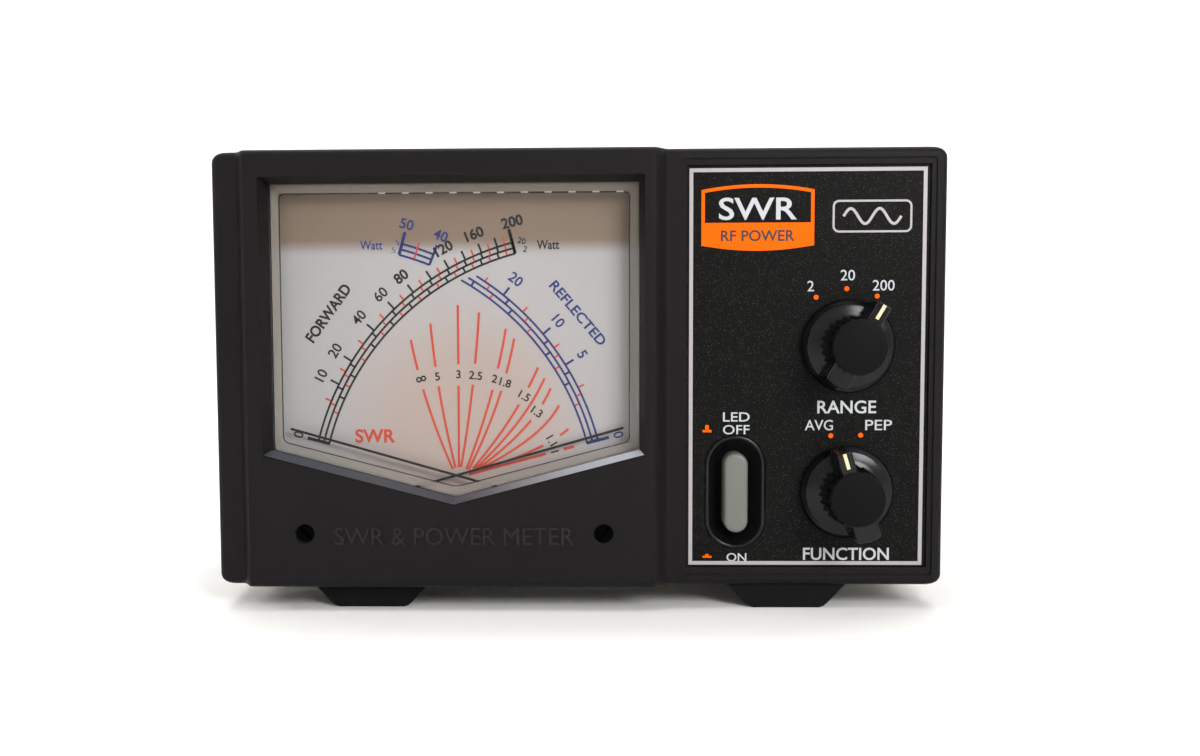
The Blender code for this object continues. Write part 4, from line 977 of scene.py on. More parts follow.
@dataclass
class Case:
    """The front moulding, the steel cover, the rear panel, the feet and what holds them."""

    bench: Workbench
    half_width: float = 82.5
    height: float = 98.6
    corner: float = 2.6
    rim_radius: float = 1.7
    block_rise: float = 3.6
    sheet: float = 1.0
    block_left: Flat = (-77.2, -74.0)
    block_right: Flat = (17.0, 20.8)
    back: float = 14.0

    def build(self) -> None:
        """Builds the case."""
        self.front_moulding()
        self.words_on_block()
        self.cover()
        self.feet()
        self.screws()
        self.bench.dress("zinc", "chassis_base")
        self.bench.dress("cover_paint", "rear_panel")

    def slope(self, start: float, end: float, rising: bool, steps: int = 12) -> Outline:
        """Draws a soft S between the rim and the block's front.

        Args:
            start: Where it starts on the left.
            end: Where it ends on the right.
            rising: Whether it runs out to the block, or back to the rim.
            steps: How many segments it has.

        Returns:
            Its points across and in depth.
        """
        points = []
        for i in range(steps + 1):
            share = i / steps
            ease = (1 - math.cos(math.pi * share)) / 2
            rise = ease if rising else 1 - ease
            points.append((start + (end - start) * share, -self.block_rise * rise))
        return points

    def front_moulding(self) -> None:
        """Lofts the front with a rounded rim, and cuts the window and the recesses."""
        bm = bmesh.new()
        rises = (0.0, 0.1, 0.3, 0.6, 1.0, 1.5, 2.0, self.corner)
        sections = [(self.plan(rise), rise) for rise in rises]
        sections += [(self.plan(rise), self.height - rise) for rise in reversed(rises)]
        loft(bm, sections)
        for vert in bm.verts:
            vert.co = (vert.co.x, vert.co.z, vert.co.y)
        carved = self.bench.carve(bm, self.cutters())
        self.bench.piece("front_moulding", carved, "case_abs", "case", "black_abs",
                         ("front_bezel",), smooth=28, weighted=True)

    def plan(self, rise: float, steps: int = 6) -> Outline:
        """Returns the plan of the front at a height above its lower edge.

        Args:
            rise: The height above the edge, up to the corner radius.
            steps: The number of segments in the rounding at each side.

        Returns:
            Points across and in depth, narrower and further back near the edge.
        """
        def left_over(radius: float) -> float:
            """Returns how far a rounding of this radius stands in at the height."""
            gap = max(0.0, radius - rise)
            return radius - math.sqrt(radius ** 2 - gap ** 2)

        inset, back = left_over(self.corner), left_over(self.rim_radius)
        half, radius = self.half_width - inset, self.rim_radius
        side = [(-half, self.back)]
        for i in range(steps + 1):
            turn = math.pi / 2 * i / steps
            side.append((-half + radius - radius * math.cos(turn),
                         radius - radius * math.sin(turn) + back))
        middle = self.slope(*self.block_left, rising=True)
        middle += self.slope(*self.block_right, rising=False)
        return [*side, *((x, depth + back) for x, depth in middle),
                *((-x, depth) for x, depth in reversed(side))]

    def cutters(self) -> list[bmesh.types.BMesh]:
        """Shapes the window, the rooms behind it, the screw holes and the panel's stepped seat.

        Returns:
            Closed shapes to take out of the front moulding.
        """
        window = WindowShape()
        opening, screws = bmesh.new(), bmesh.new()
        loft(opening, [(window.outline(-1.25), -4.6), (window.outline(0.0), 1.2),
                       (window.outline(0.0), 5.0)])
        for side in SIDES:
            lathe(screws, [(0.0, -6.0), (2.45, -6.0), (2.45, -3.7), (2.1, -3.3), (2.1, 4.0),
                           (0.0, 4.0)], self.bench.centre(f"{side}_zero_screw"), 40)
        return [opening,
                self.block((-79.9, 22.7, 2.6, 96.0, 1.0), 2.6, 20.0),
                self.block((22.0, 79.9, 2.6, 96.0, 1.0), 5.0, 20.0),
                self.block((24.0, 79.8, 4.0, 96.0, 0.3), 0.9, 6.0),
                screws,
                self.block((23.5, 80.05, 2.4, 96.2, 0.8), -1.0, 0.4),
                self.block((24.7, 78.9, 4.2, 94.8, 0.3), -1.0, 1.2)]

    def block(self, box: tuple[float, ...], start: float, end: float) -> bmesh.types.BMesh:
        """Returns a round-cornered box: left, right, bottom, top and radius, between depths."""
        bm = bmesh.new()
        loft(bm, [(round_box(*box), start), (round_box(*box), end)])
        return bm

    def words_on_block(self) -> None:
        """Raises faint generic words on the block, a little lighter than the moulding's black as a
        painted highlight on their faces.
        """
        bm = bmesh.new()
        self.bench.lettering.set(bm, "SWR & POWER METER", 3.9, (-27.8, 11.9), -3.55, width=54.0)
        made = bmesh.ops.extrude_face_region(bm, geom=list(bm.faces))
        verts = [item for item in made["geom"] if isinstance(item, bmesh.types.BMVert)]
        bmesh.ops.translate(bm, vec=(0.0, -0.35, 0.0), verts=verts)
        bmesh.ops.recalc_face_normals(bm, faces=bm.faces)
        self.bench.piece("block_words", bm, "raised_abs", "case", "black_abs")

    def cover(self) -> None:
        """Bends the cover's sheet over the top and down both sides."""
        start, end = self.bench.depth("top_cover")
        outer = self.bent_line(self.half_width, self.height, self.corner)
        inner = self.bent_line(self.half_width - self.sheet, self.height - self.sheet,
                               self.corner - self.sheet)
        outline = outer + inner[::-1]
        bm = bmesh.new()
        loft(bm, [(outline, start), (outline, end)])
        self.bench.piece("cover_sheet", bm, "cover_paint", "case", "black_steel", ("top_cover",),
                         smooth=30, edge=0.25, weighted=True)

    def bent_line(self, half: float, top: float, radius: float, steps: int = 8) -> Outline:
        """Draws an upturned U: up the left side, across the top and down the right.

        Args:
            half: Half its width.
            top: The height of its top.
            radius: The radius of its bends.
            steps: How many segments a bend has.

        Returns:
            Its points.
        """
        points = [(-half, 0.3)]
        for i in range(steps + 1):
            turn = math.radians(180 - 90 * i / steps)
            points.append((-half + radius + radius * math.cos(turn),
                           top - radius + radius * math.sin(turn)))
        return points + [(-x, z) for x, z in reversed(points)]

    def feet(self) -> None:
        """Moulds the four feet: a flared top, a taper and soft edges."""
        half = ((14.3, 0.25), (13.5, -0.1), (12.7, -0.8), (9.5, -4.3), (8.6, -5.1), (7.4, -5.5))
        for place in CORNERS:
            node = f"foot_{place}"
            x, _ = self.bench.centre(node)
            outline = [(x + reach, z) for reach, z in half]
            outline += [(x - reach, z) for reach, z in reversed(half)]
            bm = bmesh.new()
            loft(bm, [(outline, depth) for depth in self.bench.depth(node)])
            self.bench.piece(f"{node}_rubber", bm, "foot_rubber", "case", "black_rubber",
                             (node,), smooth=40, edge=0.5, weighted=True)

    def screws(self) -> None:
        """Adds the rear panel's screws and dresses the cover's."""
        self.bench.dress("bright_steel", *(f"cover_screw_{place}" for place in CORNERS))
        back = self.bench.depth("rear_panel")[1] + 0.6
        bm = self.bench.repeated(Blank.DISC, 3, ((-76.0, back, 5.5), (-76.0, back, 93.1)),
                                 (76.0, 0.0, 0.0), (5.6, 1.2, 5.6))
        self.bench.piece("rear_panel_screws", bm, "bright_steel", "case", "bright_steel",
                         edge=0.3)


# ---------------------------------------------------------------- meter

@dataclass(frozen=True)
class WindowShape:
    """The window: a rectangle whose lower edge runs down to a blunt point in the middle."""

    middle: float = -27.9
    half: float = 42.05
    top: float = 91.5
    shoulder: float = 31.0
    tip: float = 20.0

    def outline(self, inset: float, soft: float = 0.0) -> Outline:
        """Returns the outline, moved in by an inset.

        Args:
            inset: How far in, or out where it is negative.
            soft: The radius of the corners.

        Returns:
            Its points, anticlockwise from the upper right.
        """
        slope = math.atan2(self.shoulder - self.tip, self.half)
        side = self.half - inset
        tip = self.tip + inset / math.cos(slope)
        shoulder = tip + side * math.tan(slope)
        top = self.top - inset
        corners = [(side, top), (-side, top), (-side, shoulder), (0.0, tip), (side, shoulder)]
        placed = [(self.middle + x, z) for x, z in corners]
        return self.softened(placed, soft) if soft else placed

    def softened(self, corners: Outline, radius: float, steps: int = 5) -> Outline:
        """Rounds each corner with a short curve.

        Args:
            corners: The sharp corners.
            radius: How far from a corner its curve starts.
            steps: How many segments a curve has.

        Returns:
            The points of all the curves.
        """
        points = []
        for i, corner in enumerate(corners):
            here = Vector(corner)
            before = (Vector(corners[i - 1]) - here).normalized() * radius
            after = (Vector(corners[(i + 1) % len(corners)]) - here).normalized() * radius
            for j in range(steps + 1):
                share = j / steps
                bend = here + before * (1 - share) ** 2 + after * share ** 2
                points.append((bend.x, bend.y))
        return points


@dataclass(frozen=True)
class Scale:
    """One needle's power scale, with a band of ticks for each of the three ranges.

    The deflection grows roughly with the square root of the power. A diode's knee bends the
    two lower ranges a little more.
    """

    side: int
    pivot: Flat
    full: float
    span: float
    bends: tuple[float, float, float]
    zero: float = 14.5
    bands: tuple[Flat, ...] = ((63.75, 66.0), (62.45, 63.75), (61.15, 62.45))

    def angle(self, value: float, band: int = 0) -> float:
        """Returns a value's angle above the horizontal in one band, in degrees."""
        return self.zero + self.span * (value / self.full) ** self.bends[band]

    def at(self, radius: float, angle: float) -> Flat:
        """Returns the point at a radius and an angle."""
        turn = math.radians(angle)
        return (self.pivot[0] - self.side * radius * math.cos(turn),
                self.pivot[1] + radius * math.sin(turn))

    def label_turn(self, angle: float) -> float:
        """Returns the clockwise turn that stands a label on the arc."""
        return -self.side * (90.0 - angle)

    def arc(self, bm: bmesh.types.BMesh, radius: float, start: float, end: float, width: float,
            depth: float) -> None:
        """Draws an arc line.

        Args:
            bm: The mesh that gets the line.
            radius: Its radius about the pivot.
            start: The angle that it starts at.
            end: The angle that it ends at.
            width: Its width.
            depth: The depth that it lies at.
        """
        steps = max(2, int((end - start) / 1.2))
        points = [self.at(radius, start + (end - start) * i / steps) for i in range(steps + 1)]
        ribbon(bm, points, width, depth)

    def tick(self, bm: bmesh.types.BMesh, angle: float, inner: float, outer: float, width: float,
             depth: float) -> None:
        """Draws a radial line."""
        ribbon(bm, [self.at(inner, angle), self.at(outer, angle)], width, depth)


@dataclass(frozen=True)
class RatioLine:
    """One line of equal standing-wave ratio: three points that it bends through, and its name.

    The line for an endless ratio has an empty name; its sign is drawn.
    """

    label: str
    top: Flat
    middle: Flat
    foot: Flat
    named_at: Flat | None
    width: float = 0.55
    gap: float = 2.1

    def path(self, steps: int = 60) -> Outline:
        """Draws the curve from the foot to the top, through the middle.

        Args:
            steps: How many segments it has.

        Returns:
            Its points.
        """
        foot, top = Vector(self.foot), Vector(self.top)
        control = 2 * Vector(self.middle) - (foot + top) / 2
        points = []
        for i in range(steps + 1):
            share = i / steps
            point = (foot * (1 - share) ** 2 + control * 2 * share * (1 - share)
                     + top * share ** 2)
            points.append((point.x, point.y))
        return points

    def parts(self) -> list[Outline]:
        """Splits the curve where its name stands.

        Returns:
            The curve whole, or in two parts.
        """
        path = self.path()
        if self.named_at is None:
            return [path]
        away = [(Vector(p) - Vector(self.named_at)).length > self.gap for p in path]
        first = away.index(False)
        last = len(away) - away[::-1].index(False)
        return [path[:first], path[last:]]


RATIO_LINES = (
    RatioLine("", (-38.6, 56.0), (-34.8, 41.0), (-29.1, 25.8), (-36.3, 46.9)),
    RatioLine("5", (-34.0, 59.8), (-31.9, 43.0), (-28.5, 26.2), (-32.5, 47.5)),
    RatioLine("3", (-27.6, 64.0), (-27.6, 45.3), (-27.7, 26.3), (-27.6, 48.0)),
    RatioLine("2.5", (-22.7, 62.3), (-24.4, 44.4), (-27.2, 26.3), (-23.6, 47.7)),
    RatioLine("2", (-16.5, 58.5), (-20.3, 42.2), (-26.0, 25.8), (-19.2, 46.9)),
    RatioLine("1.8", (-14.6, 56.2), (-18.7, 41.1), (-25.4, 25.8), (-16.7, 46.0)),
    RatioLine("1.5", (-9.1, 49.5), (-15.5, 37.8), (-24.4, 26.0), (-12.3, 42.9)),
    RatioLine("1.4", (-7.6, 47.0), (-14.0, 36.6), (-23.8, 26.0), None),
    RatioLine("1.3", (-6.2, 44.7), (-12.4, 35.4), (-23.1, 26.1), (-9.4, 39.2)),
    RatioLine("1.2", (-4.3, 40.7), (-10.7, 33.4), (-22.4, 26.1), None),
    RatioLine("1.1", (-2.1, 35.2), (-10.6, 30.1), (-22.4, 26.0), (-6.0, 32.5)),
    RatioLine("1", (-0.8, 31.1), (-13.1, 27.9), (-25.4, 24.6), (-5.3, 29.9), 0.65),
)


@dataclass
class Meter:
    """The window, the dial with its print, both needles and the movements behind them."""

    bench: Workbench
    window: WindowShape = field(default_factory=WindowShape)
    glass: float = 1.1
    dial: float = 7.0
    line: float = 0.39
    value_cap: float = 2.25
    value_radius: float = 68.4
    zero_tick: Flat = (61.0, 66.4)
    forward_long: tuple[float, ...] = (10, *range(20, 201, 20))
    forward_short: tuple[float, ...] = (5, 15, *range(30, 191, 20))
    reflected_short: tuple[float, ...] = (2.5, 7.5, 15, 25)

    def build(self) -> None:
        """Builds the meter from the dial forward."""
        middle = self.window.middle
        self.forward = Scale(1, (middle + 29.1, 16.6), 200.0, 60.9, (0.523, 0.54, 0.59))
        self.reflected = Scale(-1, (middle - 29.1, 16.6), 50.0, 60.4, (0.545, 0.59, 0.65))
        self.ink = self.dial - 0.03
        self.black_print()
        self.blue_print()
        self.red_print()
        self.ratio_lines()
        self.clear_cover()
        self.sill()
        self.dress()

    def dress(self) -> None:
        """Dresses the dial, the housing, the lamp board and both movements."""
        self.bench.dress("dial_paint", "dial_plate")
        self.bench.dress("white_abs", "meter_housing")
        self.bench.dress("board", "backlight_board")
        for part, finish in (("needle", "needle_paint"), ("hairspring", "bronze"),
                             ("yoke", "soft_iron"), ("magnet", "magnet"), ("bridge", "brass"),
                             ("zero_lever", "brass"), ("coil", "winding"),
                             ("zero_screw", "screw_black")):
            self.bench.dress(finish, *(f"{side}_{part}" for side in SIDES))

    def name_values(self, bm: bmesh.types.BMesh, scale: Scale, values: tuple[int, ...]) -> None:
        """Sets power values outside a scale's arc.

        Args:
            bm: The mesh that gets them.
            scale: The scale.
            values: Watts. Those over 60 are bolder, and two stand a little aside.
        """
        for value in values:
            angle = scale.angle(value) + (1.0 if value in (120, 200) else 0.0)
            self.bench.lettering.set(bm, str(value), self.value_cap,
                                     scale.at(self.value_radius, angle), self.ink,
                                     scale.label_turn(angle), weight=0.032 if value > 60 else 0.018)

    def black_print(self) -> None:
        """Prints the forward scale and the names that go with it."""
        bm = bmesh.new()
        scale, ink, heavy = self.forward, self.ink, self.line * 1.9
        for inner, _ in scale.bands:
            scale.arc(bm, inner, scale.zero, scale.angle(scale.full), self.line * 1.25, ink)
        for band, (inner, outer) in enumerate(scale.bands):
            for value in self.forward_long:
                scale.tick(bm, scale.angle(value, band), inner, outer, self.line * 1.2, ink)
        scale.tick(bm, scale.angle(scale.full), 61.15, 67.0, heavy, ink)
        scale.tick(bm, scale.zero, *self.zero_tick, heavy, ink)
        self.name_values(bm, scale, (10, 20, 40, 60, 80, 120, 160, 200))
        self.bench.lettering.set_rows(bm, ink, (
            ("0", 2.2, (-65.2, 34.0), -75.0, None, 0.01),
            ("FORWARD", 2.4, (-57.75, 62.3), -54.0, 15.6, 0.032),
            ("Watt", 2.0, (-6.65, 77.8), 0.0, 5.2, 0.02),
            ("20", 1.3, (-12.7, 78.7), 14.0, None, 0.015),
            ("2", 1.3, (-11.9, 76.8), 14.0, None, 0.015)))
        self.bench.piece("dial_black_print", bm, "ink_black", "case", "printed_dial")

    def blue_print(self) -> None:
        """Prints the reflected scale, which stops where it meets the forward one."""
        bm = bmesh.new()
        scale, ink, heavy = self.reflected, self.ink, self.line * 1.9
        for (inner, _), end in zip(scale.bands, (58.0, 59.3, 60.4)):
            scale.arc(bm, inner, scale.zero, end, self.line * 1.2, ink)
            scale.arc(bm, inner, scale.angle(40), scale.angle(50), self.line * 1.3, ink)
        for band, (inner, outer) in enumerate(scale.bands):
            for value in (5, 10, 20):
                scale.tick(bm, scale.angle(value, band), inner, outer, self.line * 1.3, ink)
        scale.tick(bm, scale.angle(30, 2), 61.15, 62.45, self.line * 1.3, ink)
        scale.tick(bm, scale.angle(40), 61.15, 66.0, self.line * 1.5, ink)
        scale.tick(bm, scale.angle(50), 61.15, 66.6, heavy, ink)
        scale.tick(bm, scale.zero, *self.zero_tick, heavy, ink)
        self.name_values(bm, scale, (5, 10, 20, 40, 50))
        self.bench.lettering.set_rows(bm, ink, (
            ("0", 2.2, (9.5, 33.85), 75.0, None, 0.01),
            ("REFLECTED", 2.2, (0.2, 62.0), 50.0, 18.3, 0.02),
            ("Watt", 2.0, (-47.5, 77.9), 0.0, 5.2, 0.012),
            ("5", 1.2, (-41.4, 78.45), -14.0, None, 0.0),
            (".5", 1.2, (-42.5, 76.7), -14.0, None, 0.0)))
        self.bench.piece("dial_blue_print", bm, "ink_blue", "case", "printed_dial")

    def red_print(self) -> None:
        """Prints the short ticks of both scales and the SWR mark."""
        bm = bmesh.new()
        bands = ((63.95, 65.3), (62.65, 63.55), (61.35, 62.25))
        for scale, values in ((self.forward, self.forward_short),
                              (self.reflected, self.reflected_short)):
            for band, (inner, outer) in enumerate(bands):
                for value in values:
                    if scale.side < 0 and band == 0 and value > 20:
                        outer = 64.9
                    scale.tick(bm, scale.angle(value, band), inner, outer, 0.42, self.ink - 0.01)
        self.reflected.tick(bm, self.reflected.angle(45), 61.3, 65.2, 0.42, self.ink - 0.01)
        self.bench.lettering.set(bm, "SWR", 2.9, (-47.2, 33.65), self.ink, width=9.4, weight=0.028)
        self.bench.piece("dial_red_print", bm, "ink_red", "case", "printed_dial")

    def ratio_lines(self) -> None:
        """Prints the lines of equal standing-wave ratio and their bold numbers."""
        red, black = bmesh.new(), bmesh.new()
        for line in RATIO_LINES:
            for part in line.parts():
                if len(part) > 1:
                    ribbon(red, part, line.width, self.ink)
            if line.named_at is not None:
                self.label_line(black, line)
        self.bench.piece("dial_ratio_lines", red, "ink_red", "case", "printed_dial")
        self.bench.piece("dial_ratio_numbers", black, "ink_black", "case", "printed_dial")

    def label_line(self, bm: bmesh.types.BMesh, line: RatioLine) -> None:
        """Sets a line's number in its gap, leaning along the line.

        Args:
            bm: The mesh that gets the number.
            line: The line.
        """
        low, high = (part[-1 if i == 0 else 0] for i, part in enumerate(line.parts()))
        turn = math.degrees(math.atan2(high[0] - low[0], high[1] - low[1]))
        if line.label:
            self.bench.lettering.set(bm, line.label, 1.8, line.named_at, self.ink, turn,
                                     weight=0.02)
            return
        for side in (-0.55, 0.55):
            ring = [turn_point(p, turn, line.named_at) for p in ring_points(0.5, 20, (side, 0.0))]
            ribbon(bm, ring, 0.36, self.ink, closed=True)

    def clear_cover(self) -> None:
        """Makes the clear cover; the painted highlight, painted shaded band and dark line seen in
        its edge; and the lamps' painted glints.
        """
        bm = bmesh.new()
        corner = 0.6
        loft(bm, [(self.window.outline(0.35, corner), self.glass),
                  (self.window.outline(0.1, corner), self.glass + 0.25),
                  (self.window.outline(0.1, corner), self.glass + 1.7)])
        self.bench.piece("window_acrylic", bm, "clear", "case", "clear_acrylic", ("meter_window",))
        # the first ribbon is a painted highlight along the cover's edge, the second a painted
        # shaded band
        for name, finish, inset, soft, width, behind in (
                ("window_edge_highlight", "clear_edge_highlight", 0.4, 0.5, 0.35, 1.9),
                ("window_band", "clear_shade", 1.25, 0.8, 1.5, 1.95),
                ("window_step", "clear_line", 2.2, 1.4, 0.3, 1.85)):
            bm = bmesh.new()
            ribbon(bm, self.window.outline(inset, soft), width, self.glass + behind, closed=True)
            self.bench.piece(name, bm, finish, "case", "clear_acrylic")
        # painted glints: small white bars stand in for the lamps' reflections on the cover's top
        # step
        glints = self.bench.repeated(Blank.BAR, 11, ((-44.2, self.glass + 1.75, 89.35),),
                                     (5.4, 0.0, 0.0), (1.6, 0.1, 0.3))
        self.bench.piece("window_lamp_glints", glints, "white_abs", "case", "clear_acrylic")

    def sill(self) -> None:
        """Lays a face on the slope under each half of the window's lower edge, lighter to the right
        with a painted highlight.
        """
        bm = bmesh.new()
        outer, inner = self.window.outline(-0.9), self.window.outline(0.04)
        for i in (2, 3):
            quad = [(outer[i], -3.55), (outer[i + 1], -3.55), (inner[i + 1], 1.15),
                    (inner[i], 1.15)]
            bm.faces.new([bm.verts.new((x, depth, z + 0.04)) for (x, z), depth in quad])
        for face in bm.faces:
            face.normal_update()
            if face.normal.z < 0:
                face.normal_flip()
        self.bench.piece("window_sill", bm, "sill", "case", "black_abs")


# ---------------------------------------------------------------- controls

@dataclass
class Panel:
    """The enamelled plate with its printed frame, badge, names, marks and pictograms."""

    bench: Workbench
    face: float = 1.0
    frame: Outline = field(default_factory=lambda: [(77.65, 93.7), (25.7, 93.7), (25.7, 5.0),
                                                    (77.65, 5.0)])
    frame_width: float = 0.85
    dot: float = 0.56

    def build(self) -> None:
        """Dresses the plate and prints it."""
        self.bench.dress("panel_paint", "control_panel")
        self.ink = self.face - 0.03
        self.silver_print()
        self.orange_print()
        self.pale_print()

    def silver_print(self) -> None:
        """Prints the frame line and the wave symbol."""
        bm = bmesh.new()
        ribbon(bm, self.frame, self.frame_width, self.ink, closed=True)
        ribbon(bm, round_box(57.4, 74.6, 79.9, 86.7, 1.2), 0.45, self.ink, closed=True)
        wave = [(59.6 + 12.8 * i / 40, 83.3 + 1.7 * math.sin(2 * math.pi * i / 20))
                for i in range(41)]
        ribbon(bm, wave, 0.6, self.ink)
        self.bench.piece("panel_silver_print", bm, "ink_silver", "case", "printed_plate")

    def orange_print(self) -> None:
        """Prints the badge, the dots at the switch positions and the lamp pictograms."""
        bm = bmesh.new()
        self.badge(bm)
        for x, z in ((53.7, 65.3), (60.5, 67.2), (67.3, 65.5), (57.3, 34.1), (64.0, 34.2)):
            sheet(bm, ring_points(self.dot, 24, (x, z)), self.ink)
        for (x, z), (width, height) in (((29.4, 35.2), (2.05, 0.55)), ((29.4, 35.95), (0.8, 1.25)),
                                        ((29.5, 6.4), (2.05, 0.45)), ((29.5, 6.75), (0.8, 0.55))):
            sheet(bm, round_box(x - width / 2, x + width / 2, z - height / 2, z + height / 2, 0.12),
                  self.ink - 0.005)
        self.bench.piece("panel_orange_print", bm, "ink_orange", "case", "printed_plate")
        dark = bmesh.new()
        self.bench.lettering.set(dark, "RF POWER", 2.3, (40.55, 79.1), self.ink - 0.02,
                                 width=16.5, weight=0.02)
        self.bench.piece("badge_dark_print", dark, "ink_black", "case", "printed_plate")

    def badge(self, bm: bmesh.types.BMesh) -> None:
        """Adds the badge: a frame whose top and foot bow outwards, and a filled lower band.

        Args:
            bm: The mesh that gets it.
        """
        left, right, foot, bar, head, bow = 28.35, 52.75, 76.9, 82.0, 89.0, 1.15
        steps, thick, spread = 16, 0.75, 0.37
        across = [(left + (right - left) * i / steps, bow * (1 - (2 * i / steps - 1) ** 2))
                  for i in range(steps + 1)]
        upper = [(x, head + rise) for x, rise in across]
        ribbon(bm, [(left, bar), *upper, (right, bar)], thick, self.ink)
        lower = [(x, foot - rise) for x, rise in across]
        lower[0], lower[-1] = (left - spread, foot), (right + spread, foot)
        sheet(bm, [*lower, (right + spread, bar), (left - spread, bar)], self.ink)

    def pale_print(self) -> None:
        """Prints the names and numbers."""
        bm = bmesh.new()
        self.bench.lettering.set_rows(bm, self.ink, (
            ("SWR", 4.7, (40.55, 85.1), 0.0, 17.4, 0.012),
            ("2", 2.3, (52.45, 67.8), 0.0, None, 0.004),
            ("20", 2.3, (60.7, 70.2), 0.0, None, 0.004),
            ("200", 2.3, (68.7, 67.9), 0.0, None, 0.004),
            ("RANGE", 2.75, (60.8, 40.6), 0.0, 13.2, 0.014),
            ("AVG", 2.3, (54.6, 36.5), 0.0, 6.3, 0.004),
            ("PEP", 2.3, (68.0, 36.5), 0.0, 6.0, 0.004),
            ("FUNCTION", 2.7, (61.0, 7.1), 0.0, 19.4, 0.014),
            ("LED", 2.05, (36.0, 38.4), 0.0, 6.0, 0.006),
            ("OFF", 2.05, (36.0, 35.5), 0.0, 6.0, 0.006),
            ("ON", 1.85, (36.2, 6.3), 0.0, 4.5, 0.006)))
        self.bench.piece("panel_pale_print", bm, "ink_pale", "case", "printed_plate")


@dataclass
class Knob:
    """A pointer knob: thin flange, skirt, fluted drum, bar with a filled line, and flat cap."""

    bench: Workbench
    name: str
    turn: float
    back: float = 0.6
    flutes: int = 24
    flute_depth: float = 0.6
    drum: float = 6.75
    top: float = 6.3
    height: float = 12.6

    def build(self) -> None:
        """Builds the knob and dresses its shaft."""
        self.centre = self.bench.centre(f"{self.name}_shaft")
        self.body = f"{self.name}_control"
        self.flange()
        self.fluted_drum()
        self.bar()
        self.cap()
        self.bench.dress("bright_steel", f"{self.name}_shaft", f"{self.name}_nut")
        self.bench.dress("dark_phenolic", f"{self.name}_switch")

    def flange(self) -> None:
        """Turns the flange and the dished skirt, with a groove between them."""
        bm = bmesh.new()
        back = self.back
        profile = [(0.0, back - 3.6), (5.4, back - 3.6), (6.2, back - 3.1), (7.6, back - 2.55),
                   (9.1, back - 2.5), (9.4, back - 2.3), (9.42, back - 1.0), (9.5, back - 0.75),
                   (10.2, back - 0.75), (10.45, back - 0.9), (10.5, back - 0.8), (10.5, back),
                   (4.9, back), (4.9, back - 2.5), (0.0, back - 2.5)]
        lathe(bm, profile, self.centre, 96)
        self.bench.piece(f"{self.name}_knob_skirt", bm, "knob_abs", self.body, "gloss_black",
                         (f"{self.name}_knob",))

    def fluted_drum(self) -> None:
        """Lofts the drum: scallops with rounded lands that draft in towards the front."""
        bm = bmesh.new()
        sections = []
        front, steps = self.back - self.height, self.flutes * 8
        for depth, radius in ((front, self.top - 0.15), (front + 0.2, self.top),
                              (self.back - 2.6, self.drum)):
            outline = []
            for i in range(steps):
                turn = 2 * math.pi * i / steps
                wave = 0.5 - 0.5 * math.cos(self.flutes * turn)
                reach = radius - self.flute_depth * wave ** 0.7
                outline.append(turn_point((reach * math.sin(turn), reach * math.cos(turn)),
                                          self.turn, self.centre))
            sections.append((outline, depth))
        loft(bm, sections)
        self.bench.piece(f"{self.name}_knob_drum", bm, "knob_abs", self.body, "gloss_black",
                         smooth=50)

    def bar(self) -> None:
        """Adds the pointer and the wider tail, with the filled line along the pointer."""
        bm = bmesh.new()
        tail = [(9.7 * math.sin(math.radians(t)), -9.7 * math.cos(math.radians(t)))
                for t in (16.5, 11, 5.5, 0, -5.5, -11, -16.5)]
        shapes = (((1.7, 10.65), (-1.7, 10.65), (-1.7, 3.0), (1.7, 3.0)),
                  ((2.75, -3.0), *tail, (-2.75, -3.0)))
        for shape, front in zip(shapes, (self.back - 12.3, self.back - 12.2)):
            outline = [turn_point(p, self.turn, self.centre) for p in shape]
            loft(bm, [(outline, front), (outline, self.back - 1.4)])
        self.bench.piece(f"{self.name}_knob_bar", bm, "knob_abs", self.body, "gloss_black",
                         edge=0.45, weighted=True)
        line = bmesh.new()
        front = self.back - 12.33
        sheet(line, [turn_point(p, self.turn, self.centre)
                     for p in ((0.38, 10.35), (-0.38, 10.35), (-0.38, 6.9), (0.38, 6.9))], front)
        self.bench.piece(f"{self.name}_knob_stripe", line, "cream", self.body, "cream_inlay",
                         (f"{self.name}_knob_line",))

    def cap(self) -> None:
        """Turns the flat cap with a fine chamfer."""
        bm = bmesh.new()
        front = self.back - self.height - 0.5
        lathe(bm, [(0.0, front), (5.5, front), (5.8, front + 0.08), (5.9, front + 0.25),
                   (5.9, front + 0.75), (0.0, front + 0.75)], self.centre, 72)
        self.bench.piece(f"{self.name}_knob_disc", bm, "knob_cap", self.body, "matt_cap",
                         (f"{self.name}_knob_cap",))


